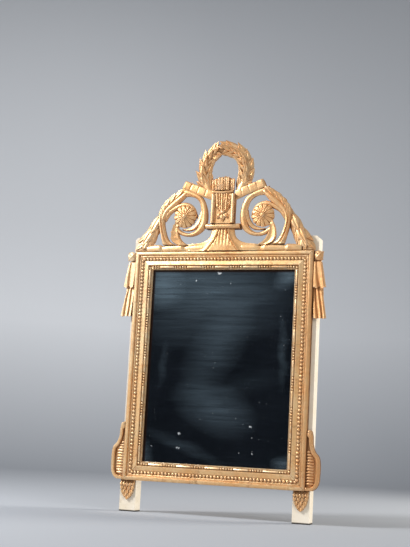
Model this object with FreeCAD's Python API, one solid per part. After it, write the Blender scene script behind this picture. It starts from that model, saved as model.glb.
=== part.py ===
import FreeCAD, Part
import os

# A carved and gilded wall mirror: a mitred frame on two painted battens, with a pierced crest.
# Millimetres. X runs to the right, Z up from the floor under the feet, and the front faces -Y.

V = FreeCAD.Vector

# Driving dimensions
DEPTH = 64
SIGHT_W = 348
SIGHT_H = 450
MOULDING_W = 44
FOOT_H = 72
BATTEN_W = 39
BATTEN_D = 32
BATTEN_OVERHANG = 9
BATTEN_RISE = 36
CREST_H = 265

# Places worked out from them
WALL_Y = DEPTH / 2
FRAME_W = SIGHT_W + 2 * MOULDING_W
FRAME_H = SIGHT_H + 2 * MOULDING_W
FRAME_SIDE = FRAME_W / 2
FRAME_BOTTOM = FOOT_H
FRAME_TOP = FOOT_H + FRAME_H
SIGHT_MID = FRAME_BOTTOM + FRAME_H / 2
FRAME_BACK = BATTEN_D
BATTEN_OUT = FRAME_SIDE + BATTEN_OVERHANG
BATTEN_IN = BATTEN_OUT - BATTEN_W
BATTEN_MID = (BATTEN_OUT + BATTEN_IN) / 2

parts = {}


def at(x, forward, z):
    """A point, with its depth given as the distance in front of the wall."""
    return V(x, WALL_Y - forward, z)


def block(x0, x1, back, front, z0, z1):
    return Part.makeBox(x1 - x0, front - back, z1 - z0, at(x0, front, z0))


def edge(points):
    """A straight line through two points, or a smooth curve through more."""
    if len(points) == 2:
        return Part.LineSegment(points[0], points[1]).toShape()
    curve = Part.BSplineCurve()
    curve.interpolate(points)
    return curve.toShape()


def plate(runs, back, front, lift=0):
    """A board sawn to an outline in X and Z. Each run of points starts where the last one ended."""
    edges = []
    for run in runs:
        edges.append(edge([at(x, front, z + lift) for x, z in run]))
    return Part.Face(Part.Wire(edges)).extrude(V(0, front - back, 0))


def largest(shape):
    return max(shape.Solids, key=lambda solid: solid.Volume)


def fitted(shape, *neighbours):
    """The shape with its neighbours cut away, so that the pieces meet face to face."""
    for other in neighbours:
        shape = shape.cut(other)
    return largest(shape)


def flipped(shape):
    return shape.mirror(V(0, 0, 0), V(1, 0, 0))


def pair(name, right_shape):
    parts["right_" + name] = right_shape
    parts["left_" + name] = flipped(right_shape)


def rod(x, z, back, front, radius):
    """A round rod that runs from back to front."""
    return Part.makeCylinder(radius, front - back, at(x, front, z), V(0, 1, 0))


# Frame moulding: its section, from the sight edge outwards and from the back forwards
REBATE_W = 8
REBATE_D = 4.5
LIP_D = 6
BEAD_R = 2.9
BEAD_AT = 6.5
BEAD_D = 11.5
BAND_IN = 10.5
BAND_IN_D = 14
CHANNEL_IN = 20.5
CHANNEL_OUT = 30
CHANNEL_D = 10
BAND_OUT_D = 11.5
PEARL_R = 3.4
FILLET_OUT = 33
FILLET_D = 13
ROUND_IN = 34.5
ROUND_TOP = 36
ROUND_D = 17
EDGE_D = 12
pearl_at = (CHANNEL_IN + CHANNEL_OUT) / 2
round_mid = (MOULDING_W - 2.2, ROUND_D - 1.5)


def moulding_section():
    def p(out, forward):
        return V(0, -forward, out)

    def line(a, b):
        return Part.LineSegment(p(*a), p(*b)).toShape()

    def arc(a, b, c):
        return Part.Arc(p(*a), p(*b), p(*c)).toShape()

    before_pearl = [
        (REBATE_W, 0), (MOULDING_W, 0), (MOULDING_W, EDGE_D),
    ]
    after_round = [
        (ROUND_TOP, ROUND_D), (ROUND_IN, ROUND_D), (ROUND_IN, BEAD_D), (FILLET_OUT, BEAD_D),
        (FILLET_OUT, FILLET_D), (CHANNEL_OUT, FILLET_D), (CHANNEL_OUT, CHANNEL_D),
        (pearl_at + PEARL_R, CHANNEL_D),
    ]
    after_pearl = [
        (pearl_at - PEARL_R, CHANNEL_D), (CHANNEL_IN, CHANNEL_D), (CHANNEL_IN, BAND_OUT_D),
        (BAND_IN, BAND_IN_D), (BAND_IN, BEAD_D), (BEAD_AT + BEAD_R, BEAD_D),
    ]
    after_bead = [
        (BEAD_AT - BEAD_R, BEAD_D), (BEAD_AT - BEAD_R, BEAD_D - 1), (0, LIP_D), (0, REBATE_D),
        (REBATE_W, REBATE_D), (REBATE_W, 0),
    ]
    edges = []
    for run in (before_pearl, after_round, after_pearl, after_bead):
        edges += [line(a, b) for a, b in zip(run, run[1:])]
    edges.append(arc(before_pearl[-1], round_mid, after_round[0]))
    edges.append(arc(after_round[-1], (pearl_at, CHANNEL_D + PEARL_R), after_pearl[0]))
    edges.append(arc(after_pearl[-1], (BEAD_AT, BEAD_D + BEAD_R), after_bead[0]))
    return Part.Face(Part.Wire(Part.__sortEdges__(edges)))


def moulding(length, turn, centre_x, centre_z):
    """One mitred length, turned about Y so that its outer side faces away from the glass."""
    bar = moulding_section().extrude(V(length, 0, 0))
    bar.translate(V(-length / 2, 0, 0))
    sight = length - 2 * MOULDING_W
    corners = [
        V(-length / 2, 0, MOULDING_W), V(length / 2, 0, MOULDING_W), V(sight / 2, 0, 0), V(-sight / 2, 0, 0),
    ]
    mitre = Part.Face(Part.makePolygon(corners + corners[:1])).extrude(V(0, -DEPTH, 0))
    bar = bar.common(mitre)
    bar.rotate(V(0, 0, 0), V(0, 1, 0), turn)
    bar.translate(at(centre_x, FRAME_BACK, centre_z))
    return bar


top_rail = moulding(FRAME_W, 0, 0, SIGHT_MID + SIGHT_H / 2)
bottom_rail = moulding(FRAME_W, 180, 0, SIGHT_MID - SIGHT_H / 2)
right_stile = moulding(FRAME_H, 90, SIGHT_W / 2, SIGHT_MID)
left_stile = moulding(FRAME_H, -90, -SIGHT_W / 2, SIGHT_MID)

# Mitre keys: thin three-cornered slips glued into a saw cut across each corner
KEY_LEG = 22
KEY_BACK = FRAME_BACK + 5
KEY_T = 3
keys = []
for side in (-1, 1):
    for corner_z, inward in ((FRAME_TOP, -1), (FRAME_BOTTOM, 1)):
        corner_x = side * FRAME_SIDE
        outline = [
            (corner_x, corner_z),
            (corner_x - side * KEY_LEG, corner_z),
            (corner_x, corner_z + inward * KEY_LEG),
        ]
        legs = list(zip(outline, outline[1:] + outline[:1]))
        keys.append(plate(legs, KEY_BACK, KEY_BACK + KEY_T))
mitre_keys = Part.makeCompound(keys)

# Looking glass in its rebate, held by small wedges
GLASS_T = 3
GLASS_GAP = 2
WEDGE_L = 14
glass_front = FRAME_BACK + REBATE_D
glass_back = glass_front - GLASS_T
glass_x = SIGHT_W / 2 + REBATE_W - GLASS_GAP
glass_z = SIGHT_H / 2 + REBATE_W - GLASS_GAP
parts["mirror_glass"] = block(
    -glass_x, glass_x, glass_back, glass_front, SIGHT_MID - glass_z, SIGHT_MID + glass_z
)

wedges = []
for side in (-1, 1):
    for along in (-0.3, 0.3):
        near, far = sorted((side * glass_x, side * (glass_x + GLASS_GAP)))
        z = SIGHT_MID + along * SIGHT_H
        wedges.append(block(near, far, glass_back, glass_front, z - WEDGE_L / 2, z + WEDGE_L / 2))
        low, high = sorted((SIGHT_MID + side * glass_z, SIGHT_MID + side * (glass_z + GLASS_GAP)))
        x = along * SIGHT_W
        wedges.append(block(x - WEDGE_L / 2, x + WEDGE_L / 2, glass_back, glass_front, low, high))
parts["glass_wedges"] = Part.makeCompound(wedges)

# Back boards: three upright planks nailed to the backs of the two rails
BOARD_T = 6
BOARD_LAP = 10
NAIL_R = 0.8
NAIL_L = 14
NAIL_HEAD_R = 2
NAIL_HEAD_T = 0.6
board_edge = SIGHT_H / 2 + REBATE_W + BOARD_LAP
board_back = FRAME_BACK - BOARD_T
board_w = 2 * (BATTEN_IN - 0.5) / 3
boards = {}
nails = []
for name, column in (("left", -1), ("centre", 0), ("right", 1)):
    middle = column * board_w
    boards["back_board_" + name] = block(
        middle - board_w / 2, middle + board_w / 2, board_back, FRAME_BACK,
        SIGHT_MID - board_edge, SIGHT_MID + board_edge,
    )
    for across in (-board_w / 3, board_w / 3):
        for end in (-1, 1):
            x = middle + across
            z = SIGHT_MID + end * (board_edge - BOARD_LAP / 2)
            shank = rod(x, z, board_back, board_back + NAIL_L, NAIL_R)
            head = rod(x, z, board_back - NAIL_HEAD_T, board_back, NAIL_HEAD_R)
            nails.append(shank.fuse(head).removeSplitter())
board_nails = Part.makeCompound(nails)
for name in boards:
    parts[name] = fitted(boards[name], board_nails)

# Battens: painted uprights behind the stiles, whose lower ends are the feet
BATTEN_ROUND = 6
SCREW_R = 2.2
SCREW_HEAD_R = 4.5
SCREW_SINK = 1
SCREW_BITE = 9
SCREW_SPREAD = 190
batten_top = FRAME_TOP + BATTEN_RISE
stile_share = (BATTEN_IN + FRAME_SIDE) / 2


def wood_screw(x, z, head_at, bite_to, shank_r, head_r):
    """A flat-headed screw driven forwards; its head is a cone under the surface it sits in."""
    cone = Part.makeCone(head_r, shank_r, head_r - shank_r, at(x, head_at, z), V(0, -1, 0))
    shank = rod(x, z, head_at + head_r - shank_r, bite_to, shank_r)
    return cone.fuse(shank).removeSplitter()


batten_outline = [
    [(BATTEN_IN, 0), (BATTEN_OUT, 0)],
    [(BATTEN_OUT, 0), (BATTEN_OUT, batten_top - BATTEN_ROUND)],
    [(BATTEN_OUT, batten_top - BATTEN_ROUND), (BATTEN_OUT - BATTEN_ROUND, batten_top)],
    [(BATTEN_OUT - BATTEN_ROUND, batten_top), (BATTEN_IN, batten_top)],
    [(BATTEN_IN, batten_top), (BATTEN_IN, 0)],
]
right_batten = plate(batten_outline, 0, BATTEN_D)
right_screws = []
right_sinks = []
for along in (-SCREW_SPREAD, 0, SCREW_SPREAD):
    z = SIGHT_MID + along
    right_screws.append(wood_screw(stile_share, z, SCREW_SINK, BATTEN_D + SCREW_BITE, SCREW_R, SCREW_HEAD_R))
    right_sinks.append(rod(stile_share, z, 0, SCREW_SINK, SCREW_HEAD_R))
right_screws = Part.makeCompound(right_screws)
right_batten = right_batten.cut(right_screws).cut(Part.makeCompound(right_sinks))
batten_screws = Part.makeCompound([right_screws, flipped(right_screws)])
parts["batten_screws"] = batten_screws

# Crest, drawn in heights above the top edge of the frame
CREST_BACK = 34
STRIP_H = 18
FLARE_TOP = 51
FLARE_W = 28
BAR_H = 12
BAR_W = 42
QUIVER_W = 28.5
QUIVER_H = 70
COLLAR_H = 10
COLLAR_W = 26
ARROWS_H = 34
ARROW_R = 3.9
ARROW_COUNT = 7
bar_z = FRAME_TOP + FLARE_TOP
quiver_z = bar_z + BAR_H
collar_z = quiver_z + QUIVER_H
arrows_z = collar_z + COLLAR_H

# Crest base: a strip along the rail that sweeps up to a fluted flare under the quiver
STRIP_W = 190
BASE_FRONT = 54
flare_side = [(FLARE_W, FLARE_TOP), (31, 36), (42, 23.5), (62, 16.5), (88, STRIP_H)]
base_outline = [
    [(-FLARE_W, FLARE_TOP), (FLARE_W, FLARE_TOP)],
    flare_side,
    [(88, STRIP_H), (STRIP_W, STRIP_H)],
    [(STRIP_W, STRIP_H), (STRIP_W, 0)],
    [(STRIP_W, 0), (-STRIP_W, 0)],
    [(-STRIP_W, 0), (-STRIP_W, STRIP_H)],
    [(-STRIP_W, STRIP_H), (-88, STRIP_H)],
    [(-x, z) for x, z in reversed(flare_side)],
]
crest_base = plate(base_outline, CREST_BACK, BASE_FRONT, FRAME_TOP)

# Tie bar across the foot of the quiver
BAR_FRONT = 59
parts["tie_bar"] = block(-BAR_W, BAR_W, CREST_BACK, BAR_FRONT, bar_z, quiver_z)

# Quiver with raised side borders and a hanging cloth carved on its panel
QUIVER_FRONT = DEPTH
PANEL_SINK = 5
BORDER_W = 8
CLOTH_W = 15
quiver = block(-QUIVER_W, QUIVER_W, CREST_BACK, QUIVER_FRONT, quiver_z, collar_z)
panel_w = QUIVER_W - BORDER_W
quiver = quiver.cut(block(-panel_w, panel_w, QUIVER_FRONT - PANEL_SINK, QUIVER_FRONT, quiver_z, collar_z))
cloth_low = quiver_z + QUIVER_H / 3
cloth_outline = [
    [(-CLOTH_W, collar_z), (CLOTH_W, collar_z)],
    [(CLOTH_W, collar_z), (CLOTH_W, cloth_low + 12)],
    [(CLOTH_W, cloth_low + 12), (0, cloth_low), (-CLOTH_W, cloth_low + 12)],
    [(-CLOTH_W, cloth_low + 12), (-CLOTH_W, collar_z)],
]
cloth = plate(cloth_outline, QUIVER_FRONT - PANEL_SINK, QUIVER_FRONT - 1)
parts["quiver"] = quiver.fuse(cloth).removeSplitter()

# Collar, and the arrows that stand in it
COLLAR_FRONT = 62
ARROWS_FRONT = 60
parts["collar"] = block(-COLLAR_W, COLLAR_W, CREST_BACK + 4, COLLAR_FRONT, collar_z, arrows_z)
arrow_pitch = 2 * (COLLAR_W - ARROW_R + 2) / (ARROW_COUNT - 1)
arrow_axis = ARROWS_FRONT - ARROW_R
arrow_bundle = block(-COLLAR_W, COLLAR_W, CREST_BACK + 6, arrow_axis, arrows_z, arrows_z + ARROWS_H - 2)
for number in range(ARROW_COUNT):
    x = (number - (ARROW_COUNT - 1) / 2) * arrow_pitch
    shaft = Part.makeCylinder(ARROW_R, ARROWS_H, at(x, arrow_axis, arrows_z), V(0, 0, 1))
    arrow_bundle = arrow_bundle.fuse(shaft)
parts["arrow_bundle"] = arrow_bundle.removeSplitter()

# Ribbons that slope up and out from the quiver
RIBBON_FRONT = 55
RIBBON_OUT = 104
ribbon_corners = [(QUIVER_W, 119), (RIBBON_OUT, 150), (95, 169), (QUIVER_W, 143)]
ribbon_runs = list(zip(ribbon_corners, ribbon_corners[1:] + ribbon_corners[:1]))
ribbon = plate(ribbon_runs, CREST_BACK, RIBBON_FRONT, FRAME_TOP)

# Rosettes: domed discs in the eyes of the scrolls
ROSETTE_X = 96
ROSETTE_Z = 82
ROSETTE_R = 28
ROSETTE_EDGE = 50
ROSETTE_FRONT = 60
rosette_mid = (ROSETTE_R * 0.62, ROSETTE_FRONT - 2)


def turned(points, centre_x, centre_z, angle=360):
    """A solid turned about a line from back to front, from a section in radius and depth."""
    start = V(centre_x, 0, centre_z)
    section = Part.Face(Part.Wire([edge([at(centre_x + r, d, centre_z) for r, d in run]) for run in points]))
    return section.revolve(start, V(0, 1, 0), angle)


rosette_section = [
    [(0, CREST_BACK + 2), (ROSETTE_R, CREST_BACK + 2)],
    [(ROSETTE_R, CREST_BACK + 2), (ROSETTE_R, ROSETTE_EDGE)],
    [(ROSETTE_R, ROSETTE_EDGE), rosette_mid, (0, ROSETTE_FRONT)],
    [(0, ROSETTE_FRONT), (0, CREST_BACK + 2)],
]
rosette = turned(rosette_section, ROSETTE_X, FRAME_TOP + ROSETTE_Z)

# C scrolls: bands that curl round the rosettes
SCROLL_FRONT = 53
scroll_outside = [
    (108, 153), (80, 143), (57, 130), (46, 114), (40, 92), (40, 70), (47, 52), (62, 40.5), (82, 36.5),
    (100, 39), (112, 46),
]
scroll_inside_low = [(106, 55), (96, 49), (82, 47), (70, 50.5), (58, 62)]
scroll_tongue = [(58, 62), (65, 61.5), (76, 66)]
scroll_tongue_top = [(76, 66), (66, 73), (59, 86)]
scroll_inside_high = [(59, 86), (58, 100), (63, 117), (73, 126.5), (86, 130), (98, 130)]
scroll = plate(
    [
        scroll_outside, [scroll_outside[-1], scroll_inside_low[0]],
        scroll_inside_low, scroll_tongue, scroll_tongue_top,
        scroll_inside_high, [scroll_inside_high[-1], scroll_outside[0]],
    ],
    CREST_BACK, SCROLL_FRONT, FRAME_TOP,
)
scroll = fitted(scroll, ribbon, rosette, parts["tie_bar"])

# Leaves that rise from the base strip to the rosettes
LEAF_FRONT = 54
leaf_inside = [(88, STRIP_H), (100, 25), (107.5, 35), (111.5, 47), (112, 60)]
leaf_outside = [(119, 71), (126, 56), (130, 40), (130, 26), (127, STRIP_H)]
leaf = plate(
    [
        leaf_inside, [leaf_inside[-1], leaf_outside[0]],
        leaf_outside, [leaf_outside[-1], leaf_inside[0]],
    ],
    CREST_BACK, LEAF_FRONT, FRAME_TOP,
)
leaf = fitted(leaf, rosette, scroll, crest_base)

# Leafy stems that arch over the rosettes up to the ribbon ends
STEM_FRONT = 56
stem_outside = [
    (150, STRIP_H), (155, 37), (160.5, 57), (162.5, 78), (160, 97), (152, 115), (140, 129), (124, 140.5),
    (104, 150),
]
stem_tip = [(98, 131), (91, 122), (84, 113)]
stem_inside = [
    (84, 113), (101, 107), (118, 104), (134, 95), (145.5, 79), (148, 61), (143, 43), (136, 29),
    (132, STRIP_H),
]
stem = plate(
    [
        stem_outside, [stem_outside[-1], stem_tip[0]],
        stem_tip, stem_inside, [stem_inside[-1], stem_outside[0]],
    ],
    CREST_BACK, STEM_FRONT, FRAME_TOP,
)
stem = fitted(stem, ribbon, rosette, scroll, crest_base, leaf)

# Laurel garlands that fall outside the stems to the corners of the frame
GARLAND_FRONT = 57
garland_outside = [(158, 108), (176, 83), (190, 61), (205, 41), (222, 25), (230, 12), (230, 0)]
garland_inside = [(186, 0), (182, 17), (173, 33), (164, 54), (158, 80)]
garland = plate(
    [
        garland_outside, [garland_outside[-1], garland_inside[0]],
        garland_inside, [garland_inside[-1], garland_outside[0]],
    ],
    CREST_BACK, GARLAND_FRONT, FRAME_TOP,
)
garland = fitted(garland, stem, crest_base)

# Laurel wreath, an open ring whose two ends stand on the ribbons
WREATH_Z = FRAME_TOP + 194
WREATH_R = CREST_H - 194
WREATH_HOLE = 34
WREATH_BACK = 40
WREATH_OPEN = 88
wreath_mid = (WREATH_R + WREATH_HOLE) / 2
wreath_section = [
    [(WREATH_HOLE, WREATH_BACK), (WREATH_R, WREATH_BACK)],
    [(WREATH_R, WREATH_BACK), (WREATH_R, WREATH_BACK + 7)],
    [(WREATH_R, WREATH_BACK + 7), (wreath_mid, DEPTH), (WREATH_HOLE, WREATH_BACK + 7)],
    [(WREATH_HOLE, WREATH_BACK + 7), (WREATH_HOLE, WREATH_BACK)],
]
wreath = turned(wreath_section, 0, WREATH_Z, 360 - WREATH_OPEN)
wreath.rotate(V(0, 0, WREATH_Z), V(0, 1, 0), 90 + WREATH_OPEN / 2)
parts["wreath"] = fitted(wreath, ribbon, flipped(ribbon), parts["arrow_bundle"], parts["collar"])

# Crest dowels, from the top rail up into the crest base
DOWEL_R = 3
DOWEL_UP = 12
DOWEL_DOWN = 20
DOWEL_FORWARD = 39
dowels = []
for x in (-140, -34, 34, 140):
    foot = at(x, DOWEL_FORWARD, FRAME_TOP - DOWEL_DOWN)
    dowels.append(Part.makeCylinder(DOWEL_R, DOWEL_DOWN + DOWEL_UP, foot, V(0, 0, 1)))
crest_dowels = Part.makeCompound(dowels)
parts["crest_dowels"] = crest_dowels
parts["crest_base"] = fitted(crest_base, crest_dowels)
pair("ribbon", ribbon)
pair("rosette", rosette)
pair("scroll", scroll)
pair("leaf", leaf)
pair("stem", stem)
pair("garland", garland)

# Tassels: knotted falls of carved drapery beside the upper ends of the stiles
TASSEL_TOP = FRAME_TOP
KNOT_H = 27
TIER_ONE_H = 60
TIER_TWO_H = 71
TASSEL_BACK = BATTEN_D
TASSEL_FRONT = 47
FOLD_COUNT = 3
FOLD_D = 3


def folds(inner, width, front, z):
    """The level outline of hanging folds: a flat back and a scalloped front."""
    step = width / FOLD_COUNT
    valley = front - FOLD_D
    edges = [edge([at(inner, TASSEL_BACK, z), at(inner + width, TASSEL_BACK, z)])]
    edges.append(edge([at(inner + width, TASSEL_BACK, z), at(inner + width, valley, z)]))
    for number in reversed(range(FOLD_COUNT)):
        start = inner + number * step
        ridge = Part.Arc(at(start + step, valley, z), at(start + step / 2, front, z), at(start, valley, z))
        edges.append(ridge.toShape())
    edges.append(edge([at(inner, valley, z), at(inner, TASSEL_BACK, z)]))
    return Part.Wire(edges)


knot_z = TASSEL_TOP - KNOT_H
tier_one_z = knot_z - TIER_ONE_H
tier_two_z = tier_one_z - TIER_TWO_H
knot = block(FRAME_SIDE, FRAME_SIDE + 24, TASSEL_BACK, TASSEL_FRONT, knot_z, TASSEL_TOP)


def fall(top_w, top_front, top_z, hem_w, hem_z):
    """One tier of drapery, which widens from its gathered top to its hem."""
    top = folds(FRAME_SIDE, top_w, top_front, top_z)
    hem = folds(FRAME_SIDE, hem_w, TASSEL_FRONT, hem_z)
    return Part.makeLoft([top, hem], True, True)


tier_one = fall(20, TASSEL_FRONT - 2, knot_z, 29, tier_one_z)
tier_two = fall(22, TASSEL_FRONT - 3, tier_one_z, 32, tier_two_z)
tassel = knot.fuse(tier_one).fuse(tier_two)

# Consoles: brackets beside the lower ends of the stiles, with a sunk panel of level reeds
CONSOLE_FRONT = 47
CONSOLE_H = 134
PANEL_H = 60
PANEL_W = 17
PANEL_D = 4
PANEL_RIM = 14
REED_R = 2.9
REED_COUNT = 10
console_side = [
    (227, CONSOLE_H), (231, 118), (232.5, 100), (239, 83), (247, 74), (249, 54), (248, 24), (241, 6),
    (228, 0),
]
console_runs = [
    [(FRAME_SIDE, 0), (FRAME_SIDE, CONSOLE_H)],
    [(FRAME_SIDE, CONSOLE_H), console_side[0]],
    console_side,
    [console_side[-1], (FRAME_SIDE, 0)],
]
console = plate(console_runs, BATTEN_D, CONSOLE_FRONT, FRAME_BOTTOM)
panel_z = FRAME_BOTTOM + PANEL_RIM
panel_x = FRAME_SIDE + 2
console = console.cut(
    block(panel_x, panel_x + PANEL_W, CONSOLE_FRONT - PANEL_D, CONSOLE_FRONT, panel_z, panel_z + PANEL_H)
)
reed_pitch = PANEL_H / REED_COUNT
for number in range(REED_COUNT):
    axis_start = at(panel_x, CONSOLE_FRONT - PANEL_D, panel_z + (number + 0.5) * reed_pitch)
    console = console.fuse(Part.makeCylinder(REED_R, PANEL_W, axis_start, V(1, 0, 0)))

# Drops: pointed leaves on the fronts of the feet, under the frame
DROP_FRONT = 42
DROP_W = 19
DROP_H = 45
drop_side = [
    (BATTEN_MID + DROP_W, 0), (BATTEN_MID + DROP_W - 2, -16), (BATTEN_MID + 11, -32), (BATTEN_MID, -DROP_H),
]
drop_runs = [
    [(BATTEN_MID - DROP_W, 0), drop_side[0]],
    drop_side,
    [(2 * BATTEN_MID - x, z) for x, z in reversed(drop_side)],
]
drop = plate(drop_runs, BATTEN_D, DROP_FRONT, FRAME_BOTTOM)

# Ornament pins, glued blind into the battens and the ornaments on them
PIN_R = 1.5
PIN_FROM = BATTEN_D - 10
PIN_TO = BATTEN_D + 6
lap_mid = (FRAME_SIDE + BATTEN_OUT) / 2
pin_places = [
    (lap_mid, tier_one_z + TIER_ONE_H / 2), (lap_mid, tier_two_z + TIER_TWO_H / 2),
    (lap_mid, FRAME_BOTTOM + 8), (lap_mid, FRAME_BOTTOM + CONSOLE_H - 14),
    (BATTEN_MID, FRAME_BOTTOM - 10), (BATTEN_MID, FRAME_BOTTOM - 26),
]
right_pins = Part.makeCompound([rod(x, z, PIN_FROM, PIN_TO, PIN_R) for x, z in pin_places])
parts["ornament_pins"] = Part.makeCompound([right_pins, flipped(right_pins)])
pair("tassel", fitted(tassel.removeSplitter(), right_pins))
pair("console", fitted(console.removeSplitter(), right_pins))
pair("drop", fitted(drop, right_pins))
pair("batten", fitted(right_batten, right_pins))

# Hanging hardware on the back of the top rail: a plate, its screws and a ring that swings in it
RING_R = 14
RING_WIRE_R = 1.75
RING_PLAY = 0.05
KNUCKLE_WALL = 1.3
KNUCKLE_W = 14
PLATE_W = 52
PLATE_H = 15
PLATE_T = 1.5
HANGER_SCREW_R = 1.4
HANGER_HEAD_R = 2.9
HANGER_BITE = 10
HANGER_SCREW_X = 20
knuckle_r = RING_WIRE_R + RING_PLAY + KNUCKLE_WALL
ring_z = FRAME_TOP - 7
ring_d = FRAME_BACK - PLATE_T - RING_WIRE_R - 0.6
plate_low = ring_z - PLATE_H
plate_screw_z = ring_z - PLATE_H / 2
plate_back = FRAME_BACK - PLATE_T
screw_tip = FRAME_BACK + HANGER_BITE
hanger_screws = Part.makeCompound([
    wood_screw(x, plate_screw_z, plate_back, screw_tip, HANGER_SCREW_R, HANGER_HEAD_R)
    for x in (-HANGER_SCREW_X, HANGER_SCREW_X)
])
parts["hanger_screws"] = hanger_screws
bore = Part.makeCylinder(RING_WIRE_R + RING_PLAY, KNUCKLE_W, at(-KNUCKLE_W / 2, ring_d, ring_z), V(1, 0, 0))
knuckle = Part.makeCylinder(knuckle_r, KNUCKLE_W, at(-KNUCKLE_W / 2, ring_d, ring_z), V(1, 0, 0))
web = block(-KNUCKLE_W / 2, KNUCKLE_W / 2, ring_d, FRAME_BACK, ring_z, ring_z + knuckle_r)
plate_blank = block(-PLATE_W / 2, PLATE_W / 2, plate_back, FRAME_BACK, plate_low, ring_z + knuckle_r)
hanger_plate = plate_blank.fuse(web).fuse(knuckle).cut(bore)
parts["hanger_plate"] = fitted(hanger_plate, hanger_screws)

bar = Part.makeCylinder(RING_WIRE_R, 2 * RING_R, at(-RING_R, ring_d, ring_z), V(1, 0, 0))
bow = Part.makeTorus(RING_R, RING_WIRE_R, at(0, ring_d, ring_z), V(0, 1, 0))
bow = bow.common(block(-2 * RING_R, 2 * RING_R, ring_d - 5, ring_d + 5, ring_z - 2 * RING_R, ring_z))
ring = bar.fuse(bow)
for x in (-RING_R, RING_R):
    ring = ring.fuse(Part.makeSphere(RING_WIRE_R, at(x, ring_d, ring_z)))
parts["hanging_ring"] = ring.removeSplitter()

# Frame pieces last, cut for the keys, nails, screws and dowels that they hold
frame_fixings = [mitre_keys, board_nails, batten_screws, crest_dowels, hanger_screws]
parts["top_rail"] = fitted(top_rail, *frame_fixings)
parts["bottom_rail"] = fitted(bottom_rail, *frame_fixings)
parts["left_stile"] = fitted(left_stile, *frame_fixings)
parts["right_stile"] = fitted(right_stile, *frame_fixings)
parts["mitre_keys"] = mitre_keys
parts["board_nails"] = board_nails

os.makedirs("parts", exist_ok=True)
for name, shape in parts.items():
    shape.exportStep("parts/" + name + ".step")
    box = shape.BoundBox
    print(
        f"{name:20s} solids {len(shape.Solids)} valid {shape.isValid()} volume {shape.Volume / 1000:8.2f} cm3"
        f" x {box.XMin:.1f}..{box.XMax:.1f} y {box.YMin:.1f}..{box.YMax:.1f} z {box.ZMin:.1f}..{box.ZMax:.1f}"
    )
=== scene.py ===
import math
import random
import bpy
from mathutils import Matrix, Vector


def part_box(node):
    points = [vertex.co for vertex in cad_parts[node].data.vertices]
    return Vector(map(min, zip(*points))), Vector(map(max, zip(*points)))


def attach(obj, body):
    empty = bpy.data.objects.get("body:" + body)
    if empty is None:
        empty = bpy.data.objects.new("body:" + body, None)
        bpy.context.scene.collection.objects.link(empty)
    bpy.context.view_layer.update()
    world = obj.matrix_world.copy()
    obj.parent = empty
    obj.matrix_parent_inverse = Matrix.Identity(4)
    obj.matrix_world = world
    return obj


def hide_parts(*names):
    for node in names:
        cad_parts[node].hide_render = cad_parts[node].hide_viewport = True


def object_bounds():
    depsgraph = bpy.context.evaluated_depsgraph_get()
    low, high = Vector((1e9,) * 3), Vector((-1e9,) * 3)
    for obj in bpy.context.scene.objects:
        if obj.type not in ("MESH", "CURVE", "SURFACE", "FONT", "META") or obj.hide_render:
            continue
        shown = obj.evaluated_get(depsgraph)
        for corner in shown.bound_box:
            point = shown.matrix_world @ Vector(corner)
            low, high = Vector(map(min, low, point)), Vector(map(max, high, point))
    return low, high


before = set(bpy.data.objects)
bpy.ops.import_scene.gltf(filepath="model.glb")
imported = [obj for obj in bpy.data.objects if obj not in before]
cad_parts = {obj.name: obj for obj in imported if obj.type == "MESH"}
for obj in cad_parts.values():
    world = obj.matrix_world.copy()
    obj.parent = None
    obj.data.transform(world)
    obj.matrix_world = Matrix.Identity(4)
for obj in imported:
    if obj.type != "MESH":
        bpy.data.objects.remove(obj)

from types import SimpleNamespace

import bmesh
import bpy
from mathutils import Matrix, Vector

cad_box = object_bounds()

# The frame: four lengths of moulded limewood, mitred and glued at the corners, gessoed and gilded.
# Each has a quarter round outside, a channel with a row of carved pearls, a plain sloping band, and
# bead and reel beside the glass. Its back is bare wood.
MM = 0.001
WALL_Y = cad_box[1].y


def extent(node):
    """How far a solid reaches, in millimetres: sideways, forward of the wall, and up."""
    low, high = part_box(node)
    return SimpleNamespace(
        left=low.x / MM, right=high.x / MM,
        middle=(low.x + high.x) / 2 / MM, half_w=(high.x - low.x) / 2 / MM,
        back=(WALL_Y - high.y) / MM, front=(WALL_Y - low.y) / MM,
        foot=low.z / MM, top=high.z / MM, height=(high.z - low.z) / MM,
    )


stile = extent("right_stile")
FRAME_SIDE = stile.right
FRAME_TOP = stile.top
FRAME_BACK = stile.back
FRAME_MID = (stile.top + stile.foot) / 2
SIGHT_HALF_W = stile.left
SIGHT_HALF_H = stile.height / 2 - (stile.right - stile.left)
MITRE_GAP = 0.3
RAIL_STEPS = 14
HAND_WAVER = 0.22
CARVED_ABOVE = 9
PEARL_ACROSS = 25.25
PEARL_FLOOR = 11.2
PEARL_SEAT = PEARL_FLOOR + 1
PEARL_R = 3.6
PEARL_LEAST = 0.92
PEARL_MOST = 1.05
PEARL_BROAD = 1.06
PEARL_PITCH = 8.55
PEARL_MARGIN = 4
PEARL_STRAY_ALONG = 0.35
PEARL_STRAY_ACROSS = 0.25
BEAD_ACROSS = 6.3
REEL_SEAT = 10.4
BEAD_SEAT = REEL_SEAT + 0.2
BEAD_R = 2.7
BEAD_PITCH = 6.2
BEAD_MARGIN = 2
BEADS_IN_GROUP = 5
REEL_LENGTH = 38
SHORTEST_REEL = 4
# Stops at the end of a reel: how far in, and radius.
reel_end = [(0, 0.9), (1.6, 2.3), (3, 2.6)]
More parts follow.
